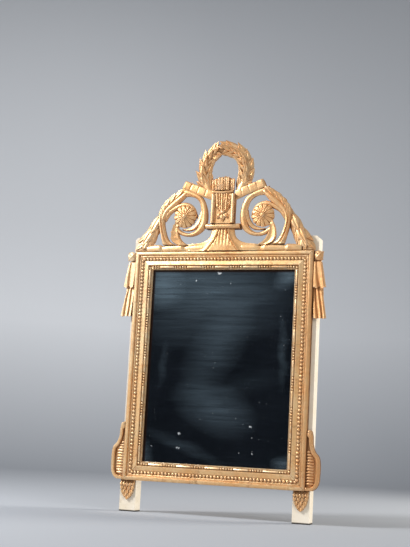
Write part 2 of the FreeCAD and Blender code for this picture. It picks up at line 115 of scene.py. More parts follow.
# The moulding's section: places across from the sight edge, and how far out from the back.
moulding_section = [
    (8, 0), (8, 4.5), (0, 4.5), (0, 6.2), (2.6, 9.6), (3.2, 9.2), (9.4, 9.2), (10, 12.6), (11, 13.9),
    (12.4, 14), (15.5, 12.9), (20, 12), (20.9, 11.9), (21.4, PEARL_FLOOR), (29.1, PEARL_FLOOR), (29.6, 12),
    (30.4, 12.7), (32.8, 12.8), (33.4, 12.4), (34.2, 12.6), (34.7, 15.2), (35.6, 16.6), (37.2, 17),
    (40, 16.7), (42.4, 15.8), (43.6, 14.6), (44, 13), (44, 0),
]
CREASE = math.radians(40)
BACK_FACING = 0.9
SIDE_FACING = -0.12

LEAF_PALE = (255, 222, 168)
LEAF_GOLD = (250, 196, 132)
# Brown leaf; also laid on as painted shade low down, on the crest and on the right edge.
LEAF_BROWN = (214, 150, 92)
SHADE_BROWN = (184, 116, 62)
# Dark dirt; in the hollows of the gilding it is also painted shade.
DIRT_AND_SHADE = (78, 42, 18)
RED_CLAY = (176, 112, 72)
# Pale gesso at rubbed places, also laid on as a painted highlight on the ridges and the left edge.
GESSO_AND_HIGHLIGHT = (253, 234, 198)
BARE_WOOD = (150, 112, 74)
BARE_WOOD_DARK = (96, 66, 40)
# The toned sides are dark enough to stand as painted shade on the walls of the carving too.
SIDE_OCHRE = (140, 96, 54)
SIDE_UMBER = (96, 60, 30)


def shade(rgb):
    """A colour written as 0 to 255 for the screen, as the renderer takes it."""
    linear = []
    for part in rgb:
        value = part / 255
        linear.append(value / 12.92 if value <= 0.04045 else ((value + 0.055) / 1.055) ** 2.4)
    return (*linear, 1.0)


def finish_called(name):
    """A new finish and its surface shader."""
    finish = bpy.data.materials.new(name)
    finish.use_nodes = True
    return finish, finish.node_tree.nodes["Principled BSDF"]


def wire(value, socket):
    """Sets a socket to a plain value, or links it when the value comes from another node."""
    if isinstance(value, bpy.types.NodeSocket):
        socket.id_data.links.new(value, socket)
    else:
        socket.default_value = value


def dress(node, sockets):
    """Fills the sockets of a shader node."""
    for key, value in sockets.items():
        wire(value, node.inputs[key])


def add(beside, kind, sockets, **settings):
    """A shader node in the same finish as another node or socket, with its settings and sockets filled."""
    made = beside.id_data.nodes.new("ShaderNode" + kind)
    for key, value in settings.items():
        setattr(made, key, value)
    dress(made, sockets)
    return made


def object_place(surface, stretch=(1, 1, 1), turn=(0, 0, 0), shift=(0, 0, 0)):
    """The place on the object, stretched along its axes, turned and shifted."""
    coordinates = add(surface, "TexCoord", {})
    mapping = add(surface, "Mapping", {
        "Vector": coordinates.outputs["Object"], "Scale": stretch, "Rotation": turn, "Location": shift,
    })
    return mapping.outputs["Vector"]


def axes(where):
    """A place taken apart into its X, Y and Z."""
    return add(where, "SeparateXYZ", {"Vector": where}).outputs


def mottle(where, scale, detail=4, roughness=0.6):
    """Cloudy variation of that scale over the surface."""
    sockets = {"Vector": where, "Scale": scale, "Detail": detail, "Roughness": roughness}
    return add(where, "TexNoise", sockets).outputs["Fac"]


def ramp(value, low, high):
    """A value spread from 0 at low to 1 at high, and held there beyond them."""
    return add(value, "MapRange", {"Value": value, "From Min": low, "From Max": high}).outputs["Result"]


def between(value, at_none, at_full):
    """A number that goes from one to another as a value goes from 0 to 1."""
    return add(value, "MapRange", {"Value": value, "To Min": at_none, "To Max": at_full}).outputs["Result"]


def reckon(operation, first, second):
    """Two numbers put together by a kind of sum, the first of them from a node."""
    return add(first, "Math", {0: first, 1: second}, operation=operation).outputs["Value"]


def times(first, second):
    return reckon("MULTIPLY", first, second)


def laid_over(amount, under, over):
    """A second colour laid over the first by that amount."""
    return add(amount, "Mix", {0: amount, 6: under, 7: over}, data_type="RGBA").outputs[2]


def painted(ground, layers):
    """A ground colour and the layers over it, in order: where each lies, how strongly, and its colour."""
    tone = shade(ground)
    for pattern, strength, colour in layers:
        tone = laid_over(times(pattern, strength), tone, shade(colour))
    return tone


def hollows(where, reach):
    """1 in open places and lower where the carving closes in, judged over that distance in metres."""
    return add(where, "AmbientOcclusion", {"Distance": reach}, samples=8).outputs["AO"]


def edges(where, low, high):
    """1 on ridges and corners that hands rub, and 0 on flat and hollow places."""
    return ramp(add(where, "NewGeometry", {}).outputs["Pointiness"], low, high)


def bumps(height, strength, depth, under=None):
    """Fine relief of that strength and depth in metres, laid on a coarser one if there is one."""
    relief = add(height, "Bump", {"Height": height, "Strength": strength, "Distance": depth})
    if under is not None:
        wire(under, relief.inputs["Normal"])
    return relief.outputs["Normal"]


def make_gilding():
    """Old water gilding: uneven leaf, red clay and gesso at rubbed places, the rubbed ridges paled further as
    a painted highlight. The hollows are darkened brown, partly dirt and partly painted shade. It is browner
    low down, on the crest and on the right edge, which is painted shade, and paler on the left edge, a
    painted highlight."""
    finish, surface = finish_called("gilding")
    where = object_place(surface)
    place = axes(where)
    fine = ramp(mottle(where, 90), 0.35, 0.7)
    # Rubbed ridges: partly leaf worn to the gesso, partly a painted highlight.
    rubbed = times(edges(where, 0.515, 0.58), ramp(mottle(where, 120), 0.38, 0.58))
    cells = add(where, "TexVoronoi", {"Vector": where, "Scale": 55}, feature="DISTANCE_TO_EDGE")
    cracks = times(ramp(cells.outputs["Distance"], 0.035, 0.01), ramp(mottle(where, 18), 0.5, 0.62))
    # Painted shade: the right edge browned, except at the very bottom.
    right_edge_painted_shade = times(ramp(place["X"], 0.19, 0.225), ramp(place["Z"], 0.06, 0.09))
    # Painted highlight: the left edge paled towards gesso, more so higher up.
    left_edge_painted_highlight = times(ramp(place["X"], -0.12, -0.23), ramp(place["Z"], 0.15, 0.5))
    # Darkening in the small hollows, partly dirt and partly painted shade; it also takes the metal off them.
    hollow_dirt_and_painted_shade = ramp(hollows(where, 0.005), 0.66, 0.18)
    tone = painted(LEAF_GOLD, [
        (ramp(mottle(where, 22), 0.36, 0.64), 1, LEAF_PALE),
        (fine, 0.45, LEAF_BROWN),
        # Rubbed ridges paled: partly wear, partly painted highlight.
        (rubbed, 0.62, GESSO_AND_HIGHLIGHT),
        (ramp(mottle(where, 42), 0.58, 0.7), 0.5, RED_CLAY),
        (ramp(mottle(where, 7, 6), 0.46, 0.68), 0.3, SHADE_BROWN),
        (ramp(mottle(where, 330, 2), 0.66, 0.74), 0.5, DIRT_AND_SHADE),
        (cracks, 0.4, DIRT_AND_SHADE),
        # Painted shade: browner towards the bottom.
        (ramp(place["Z"], 0.42, 0.02), 0.16, LEAF_BROWN),
        # Painted shade: browner on the crest above the frame.
        (ramp(place["Z"], 0.61, 0.64), 0.32, LEAF_BROWN),
        # Painted shade on the right edge.
        (right_edge_painted_shade, 0.6, LEAF_BROWN),
        # Painted highlight on the left edge.
        (left_edge_painted_highlight, 0.32, GESSO_AND_HIGHLIGHT),
        # Painted shade: a broad brown wash in the hollows.
        (ramp(hollows(where, 0.016), 0.78, 0.34), 0.6, SHADE_BROWN),
        # Dark in the small hollows: partly dirt, partly painted shade.
        (hollow_dirt_and_painted_shade, 0.85, DIRT_AND_SHADE),
    ])
    tooled = bumps(mottle(where, 80, 3), 0.3, 0.0016)
    grain = bumps(mottle(where, 260, 6), 0.3, 0.0006, tooled)
    dress(surface, {
        "Base Color": tone, "Metallic": between(hollow_dirt_and_painted_shade, 0.58, 0.1), "Roughness": between(fine, 0.3, 0.5),
        "Normal": grain,
    })
    return finish


def make_bare_wood():
    """The unfinished back of the carving: planed limewood gone brown, with long grain."""
    finish, surface = finish_called("bare_limewood")
    long_grain = mottle(object_place(surface, (9, 90, 90)), 3, 8)
    tone = painted(BARE_WOOD, [
        (ramp(long_grain, 0.35, 0.68), 1, BARE_WOOD_DARK),
        (ramp(mottle(object_place(surface), 9), 0.5, 0.75), 0.4, DIRT_AND_SHADE),
    ])
    grain = bumps(long_grain, 0.4, 0.0006)
    dress(surface, {"Base Color": tone, "Roughness": 0.8, "Normal": grain})
    return finish


def make_toned_and_shaded_sides():
    """The edges of the carving, where no leaf was laid: gesso toned with ochre and umber, dark enough to be
    painted shade on the faces that look sideways.
    """
    finish, surface = finish_called("toned_and_shaded_sides")
    cloud = ramp(mottle(object_place(surface), 60, 6), 0.36, 0.66)
    tone = painted(SIDE_OCHRE, [(cloud, 1, SIDE_UMBER)])
    grain = bumps(cloud, 0.3, 0.0005)
    dress(surface, {"Base Color": tone, "Roughness": 0.7, "Normal": grain})
    return finish


gilding = make_gilding()
bare_wood = make_bare_wood()
toned_and_shaded_sides = make_toned_and_shaded_sides()


def skin(rings, shut=True):
    """A form drawn through rings of as many points each. Its ends are shut, unless it is an open sheet."""
    count = len(rings[0])
    points = [point for ring in rings for point in ring]
    faces = []
    for step in range(len(rings) - 1):
        for place in range(count):
            this = step * count + place
            beside = step * count + (place + 1) % count
            faces.append((this, beside, beside + count, this + count))
    if shut:
        faces.append(tuple(range(count)))
        faces.append(tuple(range(len(points) - count, len(points))))
    return points, faces


def pearl(middle, across, out, up, turns=10, tiers=6):
    """A round boss: its middle as (x, forward, z), and its reach across, forward and up from there."""
    rings = []
    for tier in range(tiers):
        polar = math.pi * (tier + 0.5) / tiers
        ring = []
        for turn in range(turns):
            angle = 2 * math.pi * turn / turns
            ring.append((
                middle[0] + across * math.sin(polar) * math.cos(angle),
                middle[1] - out * math.cos(polar),
                middle[2] + up * math.sin(polar) * math.sin(angle),
            ))
        rings.append(ring)
    return skin(rings)


def tube(path, radii, turns=8):
    """A round bar along a path, with a radius for each of its points."""
    spots = [Vector(point) for point in path]
    rings = []
    for number, spot in enumerate(spots):
        ahead = spots[min(number + 1, len(spots) - 1)] - spots[max(number - 1, 0)]
        aside = ahead.cross(Vector((0, 1, 0))).normalized()
        above = aside.cross(ahead).normalized()
        ring = []
        for turn in range(turns):
            angle = 2 * math.pi * turn / turns
            ring.append(tuple(spot + radii[number] * (math.cos(angle) * aside + math.sin(angle) * above)))
        rings.append(ring)
    return skin(rings)


def set_down(name, data):
    """A new object in the scene."""
    made = bpy.data.objects.new(name, data)
    bpy.context.scene.collection.objects.link(made)
    return made


def make_piece(name, shapes, node, side_finish=toned_and_shaded_sides):
    """One gilded piece joined from shapes in millimetres (x, forward of the wall, z), riding on the mirror.
    Faces that look sideways take the side finish, and its back is bare wood."""
    points = []
    faces = []
    for shape_points, shape_faces in shapes:
        start = len(points)
        points += [(x * MM, WALL_Y - forward * MM, z * MM) for x, forward, z in shape_points]
        faces += [tuple(start + corner for corner in face) for face in shape_faces]
    mesh = bpy.data.meshes.new(name)
    mesh.from_pydata(points, [], faces)
    form = bmesh.new()
    form.from_mesh(mesh)
    bmesh.ops.recalc_face_normals(form, faces=form.faces)
    form.to_mesh(mesh)
    form.free()
    mesh.shade_smooth()
    mesh.set_sharp_from_angle(angle=CREASE)
    for finish in (gilding, side_finish, bare_wood):
        mesh.materials.append(finish)
    for face in mesh.polygons:
        if face.normal.y > BACK_FACING:
            face.material_index = 2
        # Faces that look sideways take the toned sides, which are partly painted shade.
        elif face.normal.y > SIDE_FACING:
            face.material_index = 1
    piece = set_down(name, mesh)
    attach(piece, "mirror")
    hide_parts(node)


def rail_point(side, along, across, out):
    """A place on a moulding: along from its middle, across from the sight edge, out from the frame's back."""
    forward = FRAME_BACK + out
    if side == "top_rail":
        return along, forward, FRAME_MID + SIGHT_HALF_H + across
    if side == "bottom_rail":
        return along, forward, FRAME_MID - SIGHT_HALF_H - across
    if side == "left_stile":
        return -SIGHT_HALF_W - across, forward, FRAME_MID + along
    return SIGHT_HALF_W + across, forward, FRAME_MID + along


def moulded_length(side, half_length, chance):
    """The moulding with its mitred ends, a little uneven from the carver's hand."""
    rings = []
    for step in range(RAIL_STEPS + 1):
        share = 2 * step / RAIL_STEPS - 1
        waver = chance.uniform(-HAND_WAVER, HAND_WAVER) if 0 < step < RAIL_STEPS else 0
        ring = []
        for across, out in moulding_section:
            along = share * (half_length + across - MITRE_GAP)
            ring.append(rail_point(side, along, across, out + (waver if out > CARVED_ABOVE else 0)))
        rings.append(ring)
    return skin(rings)


def pearl_row(side, half_length, chance):
    """The pearls in their channel, no two quite alike."""
    level = side.endswith("rail")
    row_half = half_length + PEARL_ACROSS - PEARL_MARGIN
    count = round(2 * row_half / PEARL_PITCH)
    row = []
    for number in range(count + 1):
        stray = chance.uniform(-PEARL_STRAY_ALONG, PEARL_STRAY_ALONG)
        along = -row_half + 2 * row_half * number / count + stray
        size = PEARL_R * chance.uniform(PEARL_LEAST, PEARL_MOST)
        across = PEARL_ACROSS + chance.uniform(-PEARL_STRAY_ACROSS, PEARL_STRAY_ACROSS)
        broad = size * PEARL_BROAD
        middle = rail_point(side, along, across, PEARL_SEAT)
        row.append(pearl(middle, size if level else broad, size, broad if level else size))
    return row


def bead_and_reel(side, half_length):
    """Long reels and groups of beads by turns, worked out from the middle of the side."""
    repeat = REEL_LENGTH + BEADS_IN_GROUP * BEAD_PITCH
    row_half = half_length + BEAD_ACROSS - BEAD_MARGIN
    repeats = math.ceil(row_half / repeat)
    row = []
    for number in range(-repeats, repeats + 1):
        reel_mid = number * repeat
        low = max(reel_mid - REEL_LENGTH / 2, -row_half)
        high = min(reel_mid + REEL_LENGTH / 2, row_half)
        if high - low > SHORTEST_REEL:
            stops = [(low + in_from_end, radius) for in_from_end, radius in reel_end]
            stops += [(high - in_from_end, radius) for in_from_end, radius in reversed(reel_end)]
            path = [rail_point(side, along, BEAD_ACROSS, REEL_SEAT) for along, radius in stops]
            row.append(tube(path, [radius for along, radius in stops]))
        for bead in range(BEADS_IN_GROUP):
            along = reel_mid + REEL_LENGTH / 2 + (bead + 0.5) * BEAD_PITCH
            if abs(along) < row_half:
                middle = rail_point(side, along, BEAD_ACROSS, BEAD_SEAT)
                row.append(pearl(middle, BEAD_R, BEAD_R, BEAD_R, turns=8, tiers=5))
    return row


rail_chance = random.Random(11)
for rail, half in (
    ("top_rail", SIGHT_HALF_W), ("bottom_rail", SIGHT_HALF_W),
    ("left_stile", SIGHT_HALF_H), ("right_stile", SIGHT_HALF_H),
):
    rail_shapes = [moulded_length(rail, half, rail_chance), *pearl_row(rail, half, rail_chance)]
    make_piece("gilt_" + rail, rail_shapes + bead_and_reel(rail, half), rail)

# The looking glass: an old hand-silvered plate lying in the rebate. The silvering has gone dark and blue,
# is clouded towards the edges, smeared by wiping, and worn through in small pale spots.
SILVER_DARK = (104, 112, 124)
SILVER_CLEAR = (150, 160, 172)
HAZE = (140, 164, 180)
WORN = (214, 220, 224)
# Painted reflection of the dark rebate, along the left and top edges of the glass.
REBATE_REFLECTION_DARK = (30, 18, 12)
LEAST_FILM = 0.004
GLASS_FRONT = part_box("mirror_glass")[0].y
# Wipe marks: middle across, height, half length and half width in millimetres, slope, thickness of film.
wipes = [
    (-70, 535, 230, 70, 0, 0.12), (-20, 470, 200, 90, 8, 0.08), (-5, 385, 140, 62, 60, 0.08),
    (-5, 245, 105, 60, -20, 0.11), (60, 300, 120, 30, 14, 0.02), (152, 380, 95, 12, 90, 0.06),
    (-80, 158, 110, 18, -20, 0.05), (-137, 344, 60, 12, 85, 0.04), (160, 550, 40, 28, 30, 0.2),
    (-150, 535, 60, 60, 20, 0.16), (166, 126, 30, 22, 0, 0.14), (-168, 126, 22, 44, 0, 0.1),
]
# Worn spots: middle across, height and size in millimetres.
worn_spots = [
    (-8, 558, 5), (-62, 541, 2.4), (22, 535, 2), (-86, 184, 4), (-88, 151, 4.5), (-152, 152, 3.5),
    (86, 207, 4), (90, 184, 3), (92, 147, 3.5), (60, 147, 2),
]


def strayed(where, pattern_place, scale, detail, reach):
    """A place pushed about at random, by up to half the reach along each axis."""
    noise = add(where, "TexNoise", {"Vector": pattern_place, "Scale": scale, "Detail": detail})
    push = add(where, "VectorMath", {0: noise.outputs["Color"], 1: (0.5, 0.5, 0.5)}, operation="SUBTRACT")
    sockets = {0: push.outputs["Vector"], 1: reach, 2: where}
    return add(where, "VectorMath", sockets, operation="MULTIPLY_ADD").outputs["Vector"]


def covered(amount, under, colour):
    """A shader with a matt colour over it by that amount."""
    film = add(amount, "BsdfDiffuse", {"Color": shade(colour)})
    return add(amount, "MixShader", {"Fac": amount, 1: under, 2: film.outputs["BSDF"]}).outputs["Shader"]


def make_silvering():
    """A mirror under a thin uneven film: smears from wiping, cloud at the edges, pale worn spots. Along the
    left and top edges a dark band is a painted reflection of the rebate."""
    finish, mirror = finish_called("old_silvering")
    where = object_place(mirror)
    silver = painted(SILVER_DARK, [(ramp(mottle(where, 5), 0.35, 0.7), 1, SILVER_CLEAR)])
    dulled = between(mottle(where, 30), 0.02, 0.09)
    dress(mirror, {"Base Color": silver, "Metallic": 1.0, "Roughness": dulled})

    flattened = object_place(mirror, (1, 1, 3))
    smeared = strayed(where, flattened, scale=9, detail=6, reach=(0.03, 0, 0.02))
    film = LEAST_FILM
    for x, z, long, short, slope, thickness in wipes:
        patch = add(mirror, "Mapping", {
            "Vector": smeared, "Location": (x * MM, GLASS_FRONT, z * MM),
            "Rotation": (0, -math.radians(slope), 0), "Scale": (long * MM, 1, short * MM),
        }, vector_type="TEXTURE")
        away = add(mirror, "VectorMath", {0: patch.outputs["Vector"]}, operation="LENGTH").outputs["Value"]
        film = reckon("ADD", times(ramp(away, 1.1, 0.1), thickness), film)
    streaks = mottle(object_place(mirror, (3, 1, 60), (0, math.radians(6), 0)), 2, 8, 0.7)
    film = times(film, between(ramp(streaks, 0.3, 0.75), 0.4, 1.5))
    for slope in (4, -33):
        scratches = mottle(object_place(mirror, (2, 1, 240), (0, math.radians(slope), 0)), 3, 2)
        film = reckon("ADD", film, times(ramp(scratches, 0.6, 0.68), 0.02))

    ragged = strayed(where, where, scale=160, detail=4, reach=(0.016, 0.016, 0.016))
    spots = ramp(mottle(where, 230, 2), 0.73, 0.76)
    for x, z, size in worn_spots:
        middle = (x * MM, GLASS_FRONT, z * MM)
        away = add(mirror, "VectorMath", {0: ragged, 1: middle}, operation="DISTANCE").outputs["Value"]
        spots = reckon("MAXIMUM", spots, ramp(away, 0.85 * size * MM, 0.35 * size * MM))

    place = axes(where)
    # Painted reflection: a dark band along the left and top edges stands for the rebate seen in the glass.
    gone = reckon("MAXIMUM", ramp(place["X"], -0.1665, -0.1695), ramp(place["Z"], 0.5595, 0.5625))
    plate = covered(film, mirror.outputs["BSDF"], HAZE)
    plate = covered(times(spots, 0.62), plate, WORN)
    # The painted reflection of the rebate laid on.
    plate = covered(times(gone, 0.92), plate, REBATE_REFLECTION_DARK)
    wire(plate, finish.node_tree.nodes["Material Output"].inputs["Surface"])
    return finish


def give_finish(nodes, finish):
    """Solids whose shapes are right keep them and take this finish."""
    for node in nodes:
        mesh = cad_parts[node].data
        mesh.materials.clear()
        mesh.materials.append(finish)


give_finish(["mirror_glass"], make_silvering())

# What holds the glass and the corners: pine wedges round the plate, three thin pine boards nailed over its
# back, keys across the mitres, dowels under the crest and pins in the side ornaments.
PINE_LIGHT = (176, 130, 82)
PINE_DARK = (118, 78, 44)


def make_pine(name, cut, pale):
    """Old unpainted pine, sawn along the height, darkened by smoke and handling. Each cut has its own grain,
    and a pale one has gone less brown."""
    finish, surface = finish_called(name)
    long_grain = mottle(object_place(surface, (60, 60, 2), shift=(cut, cut, cut)), 3, 8, 0.7)
    rings = add(surface, "TexWave", {
        "Vector": object_place(surface, (1, 1, 0.12), shift=(cut, 0, cut)),
        "Scale": 9, "Distortion": 14, "Detail": 5, "Detail Scale": 2,
    })
    grain = reckon("ADD", times(rings.outputs["Fac"], 0.35), long_grain)
    tone = painted(PINE_LIGHT, [
        (ramp(grain, 0.4 + pale, 0.9 + pale), 1, PINE_DARK),
        (ramp(mottle(object_place(surface), 6), 0.48, 0.72), 0.55, DIRT_AND_SHADE),
    ])
    fibres = bumps(long_grain, 0.35, 0.0005)
    dress(surface, {"Base Color": tone, "Roughness": 0.78, "Normal": fibres})
    return finish


give_finish(["glass_wedges", "mitre_keys", "crest_dowels", "ornament_pins"], make_pine("old_pine", 0, 0))
for board, cut, pale in (("left", 0.37, -0.06), ("centre", 0.83, 0.08), ("right", 1.61, 0)):
    give_finish(["back_board_" + board], make_pine("old_pine_" + board, cut, pale))

# The nails of the back boards and the screws of the battens: hand-forged iron, browned by rust.
# The nails are driven into the frame, and the screws go through the battens into the stiles.
IRON = (64, 56, 50)
RUST = (112, 66, 38)


def make_iron():
    """Forged iron, dark and slightly pitted, with rust in patches."""
    finish, surface = finish_called("forged_iron")
    where = object_place(surface)
    rusted = ramp(mottle(where, 120), 0.48, 0.62)
    pits = bumps(mottle(where, 700), 0.3, 0.0003)
    dress(surface, {
        "Base Color": painted(IRON, [(rusted, 1, RUST)]), "Metallic": between(rusted, 0.85, 0.1),
        "Roughness": between(rusted, 0.42, 0.85), "Normal": pits,
    })
    return finish


iron = make_iron()
give_finish(["board_nails", "batten_screws"], iron)

# The battens: two upright planks screwed behind the stiles. Their lower ends are the feet, and they are
# brushed with cream paint, which has yellowed and worn along the edges.
CREAM = (232, 222, 206)
CREAM_YELLOW = (226, 212, 188)
# Dirt on the paint; in its hollows it is also painted shade.
PAINT_DIRT_AND_SHADE = (168, 146, 116)
# The painted contact shadow along the bottom of the feet.
FOOT_PAINTED_SHADOW = (40, 32, 26)
BATTEN_EDGE = 1.2
CORNER_WELD = 0.02


def make_cream_paint():
    """Brushed cream paint: upright brush lines, yellowed clouds, rubbed and dirty edges, hollows darkened by
    dirt and painted shade, and a painted contact shadow along the bottom of the feet.
    """
    finish, surface = finish_called("cream_paint")
    where = object_place(surface)
    cloud = ramp(mottle(where, 11), 0.42, 0.72)
    rubbed = times(edges(where, 0.53, 0.62), ramp(mottle(where, 70), 0.46, 0.62))
    tone = painted(CREAM, [
        (cloud, 1, CREAM_YELLOW),
        (ramp(mottle(where, 150), 0.64, 0.74), 0.7, PAINT_DIRT_AND_SHADE),
        (rubbed, 0.55, PAINT_DIRT_AND_SHADE),
        # Darker in hollows and where the battens meet the frame: partly dirt, partly painted shade.
        (ramp(hollows(where, 0.015), 0.75, 0.3), 0.12, PAINT_DIRT_AND_SHADE),
        # Painted contact shadow: the lowest few millimetres of the feet are dark.
        (ramp(axes(where)["Z"], 0.0042, 0.0022), 1, FOOT_PAINTED_SHADOW),
    ])
    strokes = bumps(mottle(object_place(surface, (260, 260, 5)), 1.4, 5), 0.22, 0.0006)
    dress(surface, {"Base Color": tone, "Roughness": between(cloud, 0.5, 0.68), "Normal": strokes})
    return finish


battens = ["left_batten", "right_batten"]
give_finish(battens, make_cream_paint())
for batten in battens:
    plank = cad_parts[batten]
    plank.modifiers.new("corners_met", "WELD").merge_threshold = CORNER_WELD * MM
    softened = plank.modifiers.new("planed_edges", "BEVEL")
    softened.width = BATTEN_EDGE * MM
    softened.segments = 2
    softened.limit_method = "ANGLE"

# The foot of the crest: a strip of limewood along the top rail, carved in long low swellings. In the middle
# it rises into a fluted flare between two rolls that sweep outwards. Dowels hold it on the rail.
CREST_BACK = 34
LAP = 0.6
UNDERCUT = 4
STRIP_HALF_W = 190
STRIP_H = 15
STRIP_FRONT = 49
STRIP_STEPS = 190
SWELL_OUT = 3
SWELL_UP = 3.5
FLARE_TOP = 51
FLARE_FRONT = 54
FLARE_ROWS = 48
ROLL_COLUMNS = 32
EDGE_COLUMNS = 14
FLUTE_PITCH = 8.2
FLUTE_DEPTH = 2.4
ROLL_AT_TOP = 13
ROLL_SWEEP = 28
ROLL_PROUD = 1.8
ROLL_W = 1.9
QUIRK_IN = 3.4
QUIRK_DEPTH = 1.4
QUIRK_W = 1.5
WING_START = 1.5
WING_FALL = 3
WING_REACH = 14
FLARE_EDGE_FALL = 2.5
FLARE_EDGE_W = 1.5
strip_cuts = (40, 93, 151, 191)
flare_edge = [(28, FLARE_TOP), (30, 39), (34, 30.5), (42, 23.5), (56, 18.5), (72, 16.5), (88, 16)]


def curve(points, steps=6):
    """A smooth line through the points."""
    last = len(points) - 1
    line = []
    for span in range(last):
        near = [points[min(max(span + shift, 0), last)] for shift in (-1, 0, 1, 2)]
        for step in range(steps):
            t = step / steps
            weights = (
                -0.5 * t + t * t - 0.5 * t ** 3, 1 - 2.5 * t * t + 1.5 * t ** 3,
                0.5 * t + 2 * t * t - 1.5 * t ** 3, -0.5 * t * t + 0.5 * t ** 3,
            )
            blend = [sum(part * value for part, value in zip(weights, axis)) for axis in zip(*near)]
            line.append(tuple(blend))
    line.append(tuple(points[-1]))
    return line


def hump(distance, width):
    """1 in the middle of a rounded hump, falling to nothing on both sides of it."""
    return math.exp(-(distance / width) ** 2)


def moved(shapes, across=0, up=0):
    """The same shapes moved sideways and up."""
    return [([(x + across, forward, z + up) for x, forward, z in points], faces) for points, faces in shapes]


def flare_roll(z):
    """How far from the middle the rolls lie at a height."""
    return ROLL_AT_TOP + ROLL_SWEEP * (1 - z / FLARE_TOP) ** 1.6


def flare_front(x, z, half):
    """How far the flare stands forward: upright flutes, a quirk beside each roll, and a fall to both
    edges."""
    past = abs(x) - flare_roll(z)
    flute = abs(math.cos(math.pi * (x + 1.5) / FLUTE_PITCH)) ** 0.7
    between_rolls = min(max(-past / 3, 0), 1)
    fading = min(1, max(0, 1.7 * z / FLARE_TOP - 0.3))
    roll = ROLL_PROUD * hump(past, ROLL_W) - QUIRK_DEPTH * hump(past + QUIRK_IN, QUIRK_W)
    falling_away = WING_FALL * (1 - math.exp(-max(past - WING_START, 0) / WING_REACH))
    rounded_edge = FLARE_EDGE_FALL * math.exp((abs(x) - half) / FLARE_EDGE_W)
    depth = FLUTE_DEPTH * (1 - flute) * between_rolls * fading
    return FLARE_FRONT - ROLL_PROUD - depth + roll - falling_away - rounded_edge


def flare_shape():
    """The flare, in level rows whose columns follow the rolls."""
    edge = curve(flare_edge)
    foot_half, foot_h = flare_edge[-1]
    rings = []
    for row in range(FLARE_ROWS + 1):
        z = FLARE_TOP * (row / FLARE_ROWS) ** 1.1
        half = foot_half
        for (x0, z0), (x1, z1) in zip(edge, edge[1:]):
            if z > foot_h and z1 <= z <= z0:
                half = x0 + (x1 - x0) * (z0 - z) / max(z0 - z1, 0.01)
        roll = flare_roll(z)
        outer = [roll + (half - roll) * (place / EDGE_COLUMNS) ** 1.3 for place in range(1, EDGE_COLUMNS + 1)]
        inner = [roll * (place / ROLL_COLUMNS - 1) for place in range(2 * ROLL_COLUMNS + 1)]
        ring = [(x, flare_front(x, z, half), z) for x in [-x for x in reversed(outer)] + inner + outer]
        ring.append((half - UNDERCUT, CREST_BACK + LAP, z))
        ring.append((UNDERCUT - half, CREST_BACK + LAP, z))
        rings.append(ring)
    return skin(rings)


def strip_shape():
    """The strip: long low swellings, each tapering outwards to where the next begins."""
    rings = []
    for step in range(STRIP_STEPS + 1):
        x = STRIP_HALF_W * (2 * step / STRIP_STEPS - 1)
        swell = 0
        for low, high in zip(strip_cuts, strip_cuts[1:]):
            part = (abs(x) - low) / (high - low)
            if 0 <= part < 1:
                swell = min(1, 7 * part) * (1 - part) ** 0.45
        front = STRIP_FRONT - 1 + SWELL_OUT * swell
        top = STRIP_H - 2.5 + SWELL_UP * swell
        section = [
            (CREST_BACK, 0), (front - 2, 0), (front - 0.5, 1.2), (front, 4), (front, top - 6),
            (front - 1, top - 2.5), (front - 3, top - 0.6), (front - 6, top), (CREST_BACK, top - UNDERCUT),
        ]
        rings.append([(x, forward, z) for forward, z in section])
    return skin(rings)


make_piece("carved_crest_base", moved([strip_shape(), flare_shape()], up=FRAME_TOP), "crest_base")

# The tie bar: a short half-round moulding across the top of the flare. It is carved from the same limewood,
# glued between the scrolls and gilded.
bar = extent("tie_bar")
bar_section = [
    (CREST_BACK, 0.3), (bar.front - 5, 0.3), (bar.front - 2.6, 1), (bar.front - 0.9, 3),
    (bar.front, bar.height / 2), (bar.front - 0.9, bar.height - 3), (bar.front - 2.6, bar.height - 1),
    (bar.front - 5, bar.height - 0.3), (CREST_BACK, bar.height - 0.3),
]
bar_stops = [
    (-bar.right, 2.5), (-bar.right + 1, 0.6), (-bar.right + 3, 0), (-14, 0.2), (10, 0),
    (bar.right - 3, 0), (bar.right - 1, 0.6), (bar.right, 2.5),
]
bar_rings = []
for x, drawn_back in bar_stops:
    ring = []
    for forward, height in bar_section:
        ring.append((x, forward - (drawn_back if forward > CREST_BACK else 0), bar.foot + height))
    bar_rings.append(ring)
make_piece("carved_tie_bar", [skin(bar_rings)], "tie_bar")

# The quiver: a tall flat case in the middle of the crest, with plain raised borders. A gathered cloth hangs
# inside them in narrow folds, and a small three-leaved husk lies below it. All is carved from one block.
quiver = extent("quiver")
BORDER_W = 8
BORDER_ROUND = 2.8
PANEL_SUNK = 6
PANEL_ROWS = 44
PANEL_COLUMNS = 60
FILLET_OUT = 3
FILLET_PLACE = 0.92
FILLET_W = 0.06
CLOTH_FOOT_W = 0.6
CLOTH_WIDENS = 0.3
CLOTH_DEPTH = 4.2
HEM_H = 0.32
HEM_RISE = 0.22
HEM_STEP = 0.04
HEM_ROLL = 1.8
HEM_ROLL_W = 0.05
HUSK_H = 24
LEAF_STEPS = 9
cloth_edges = (-1, -0.62, -0.36, 0.02, 0.26, 0.6, 0.78, 1)


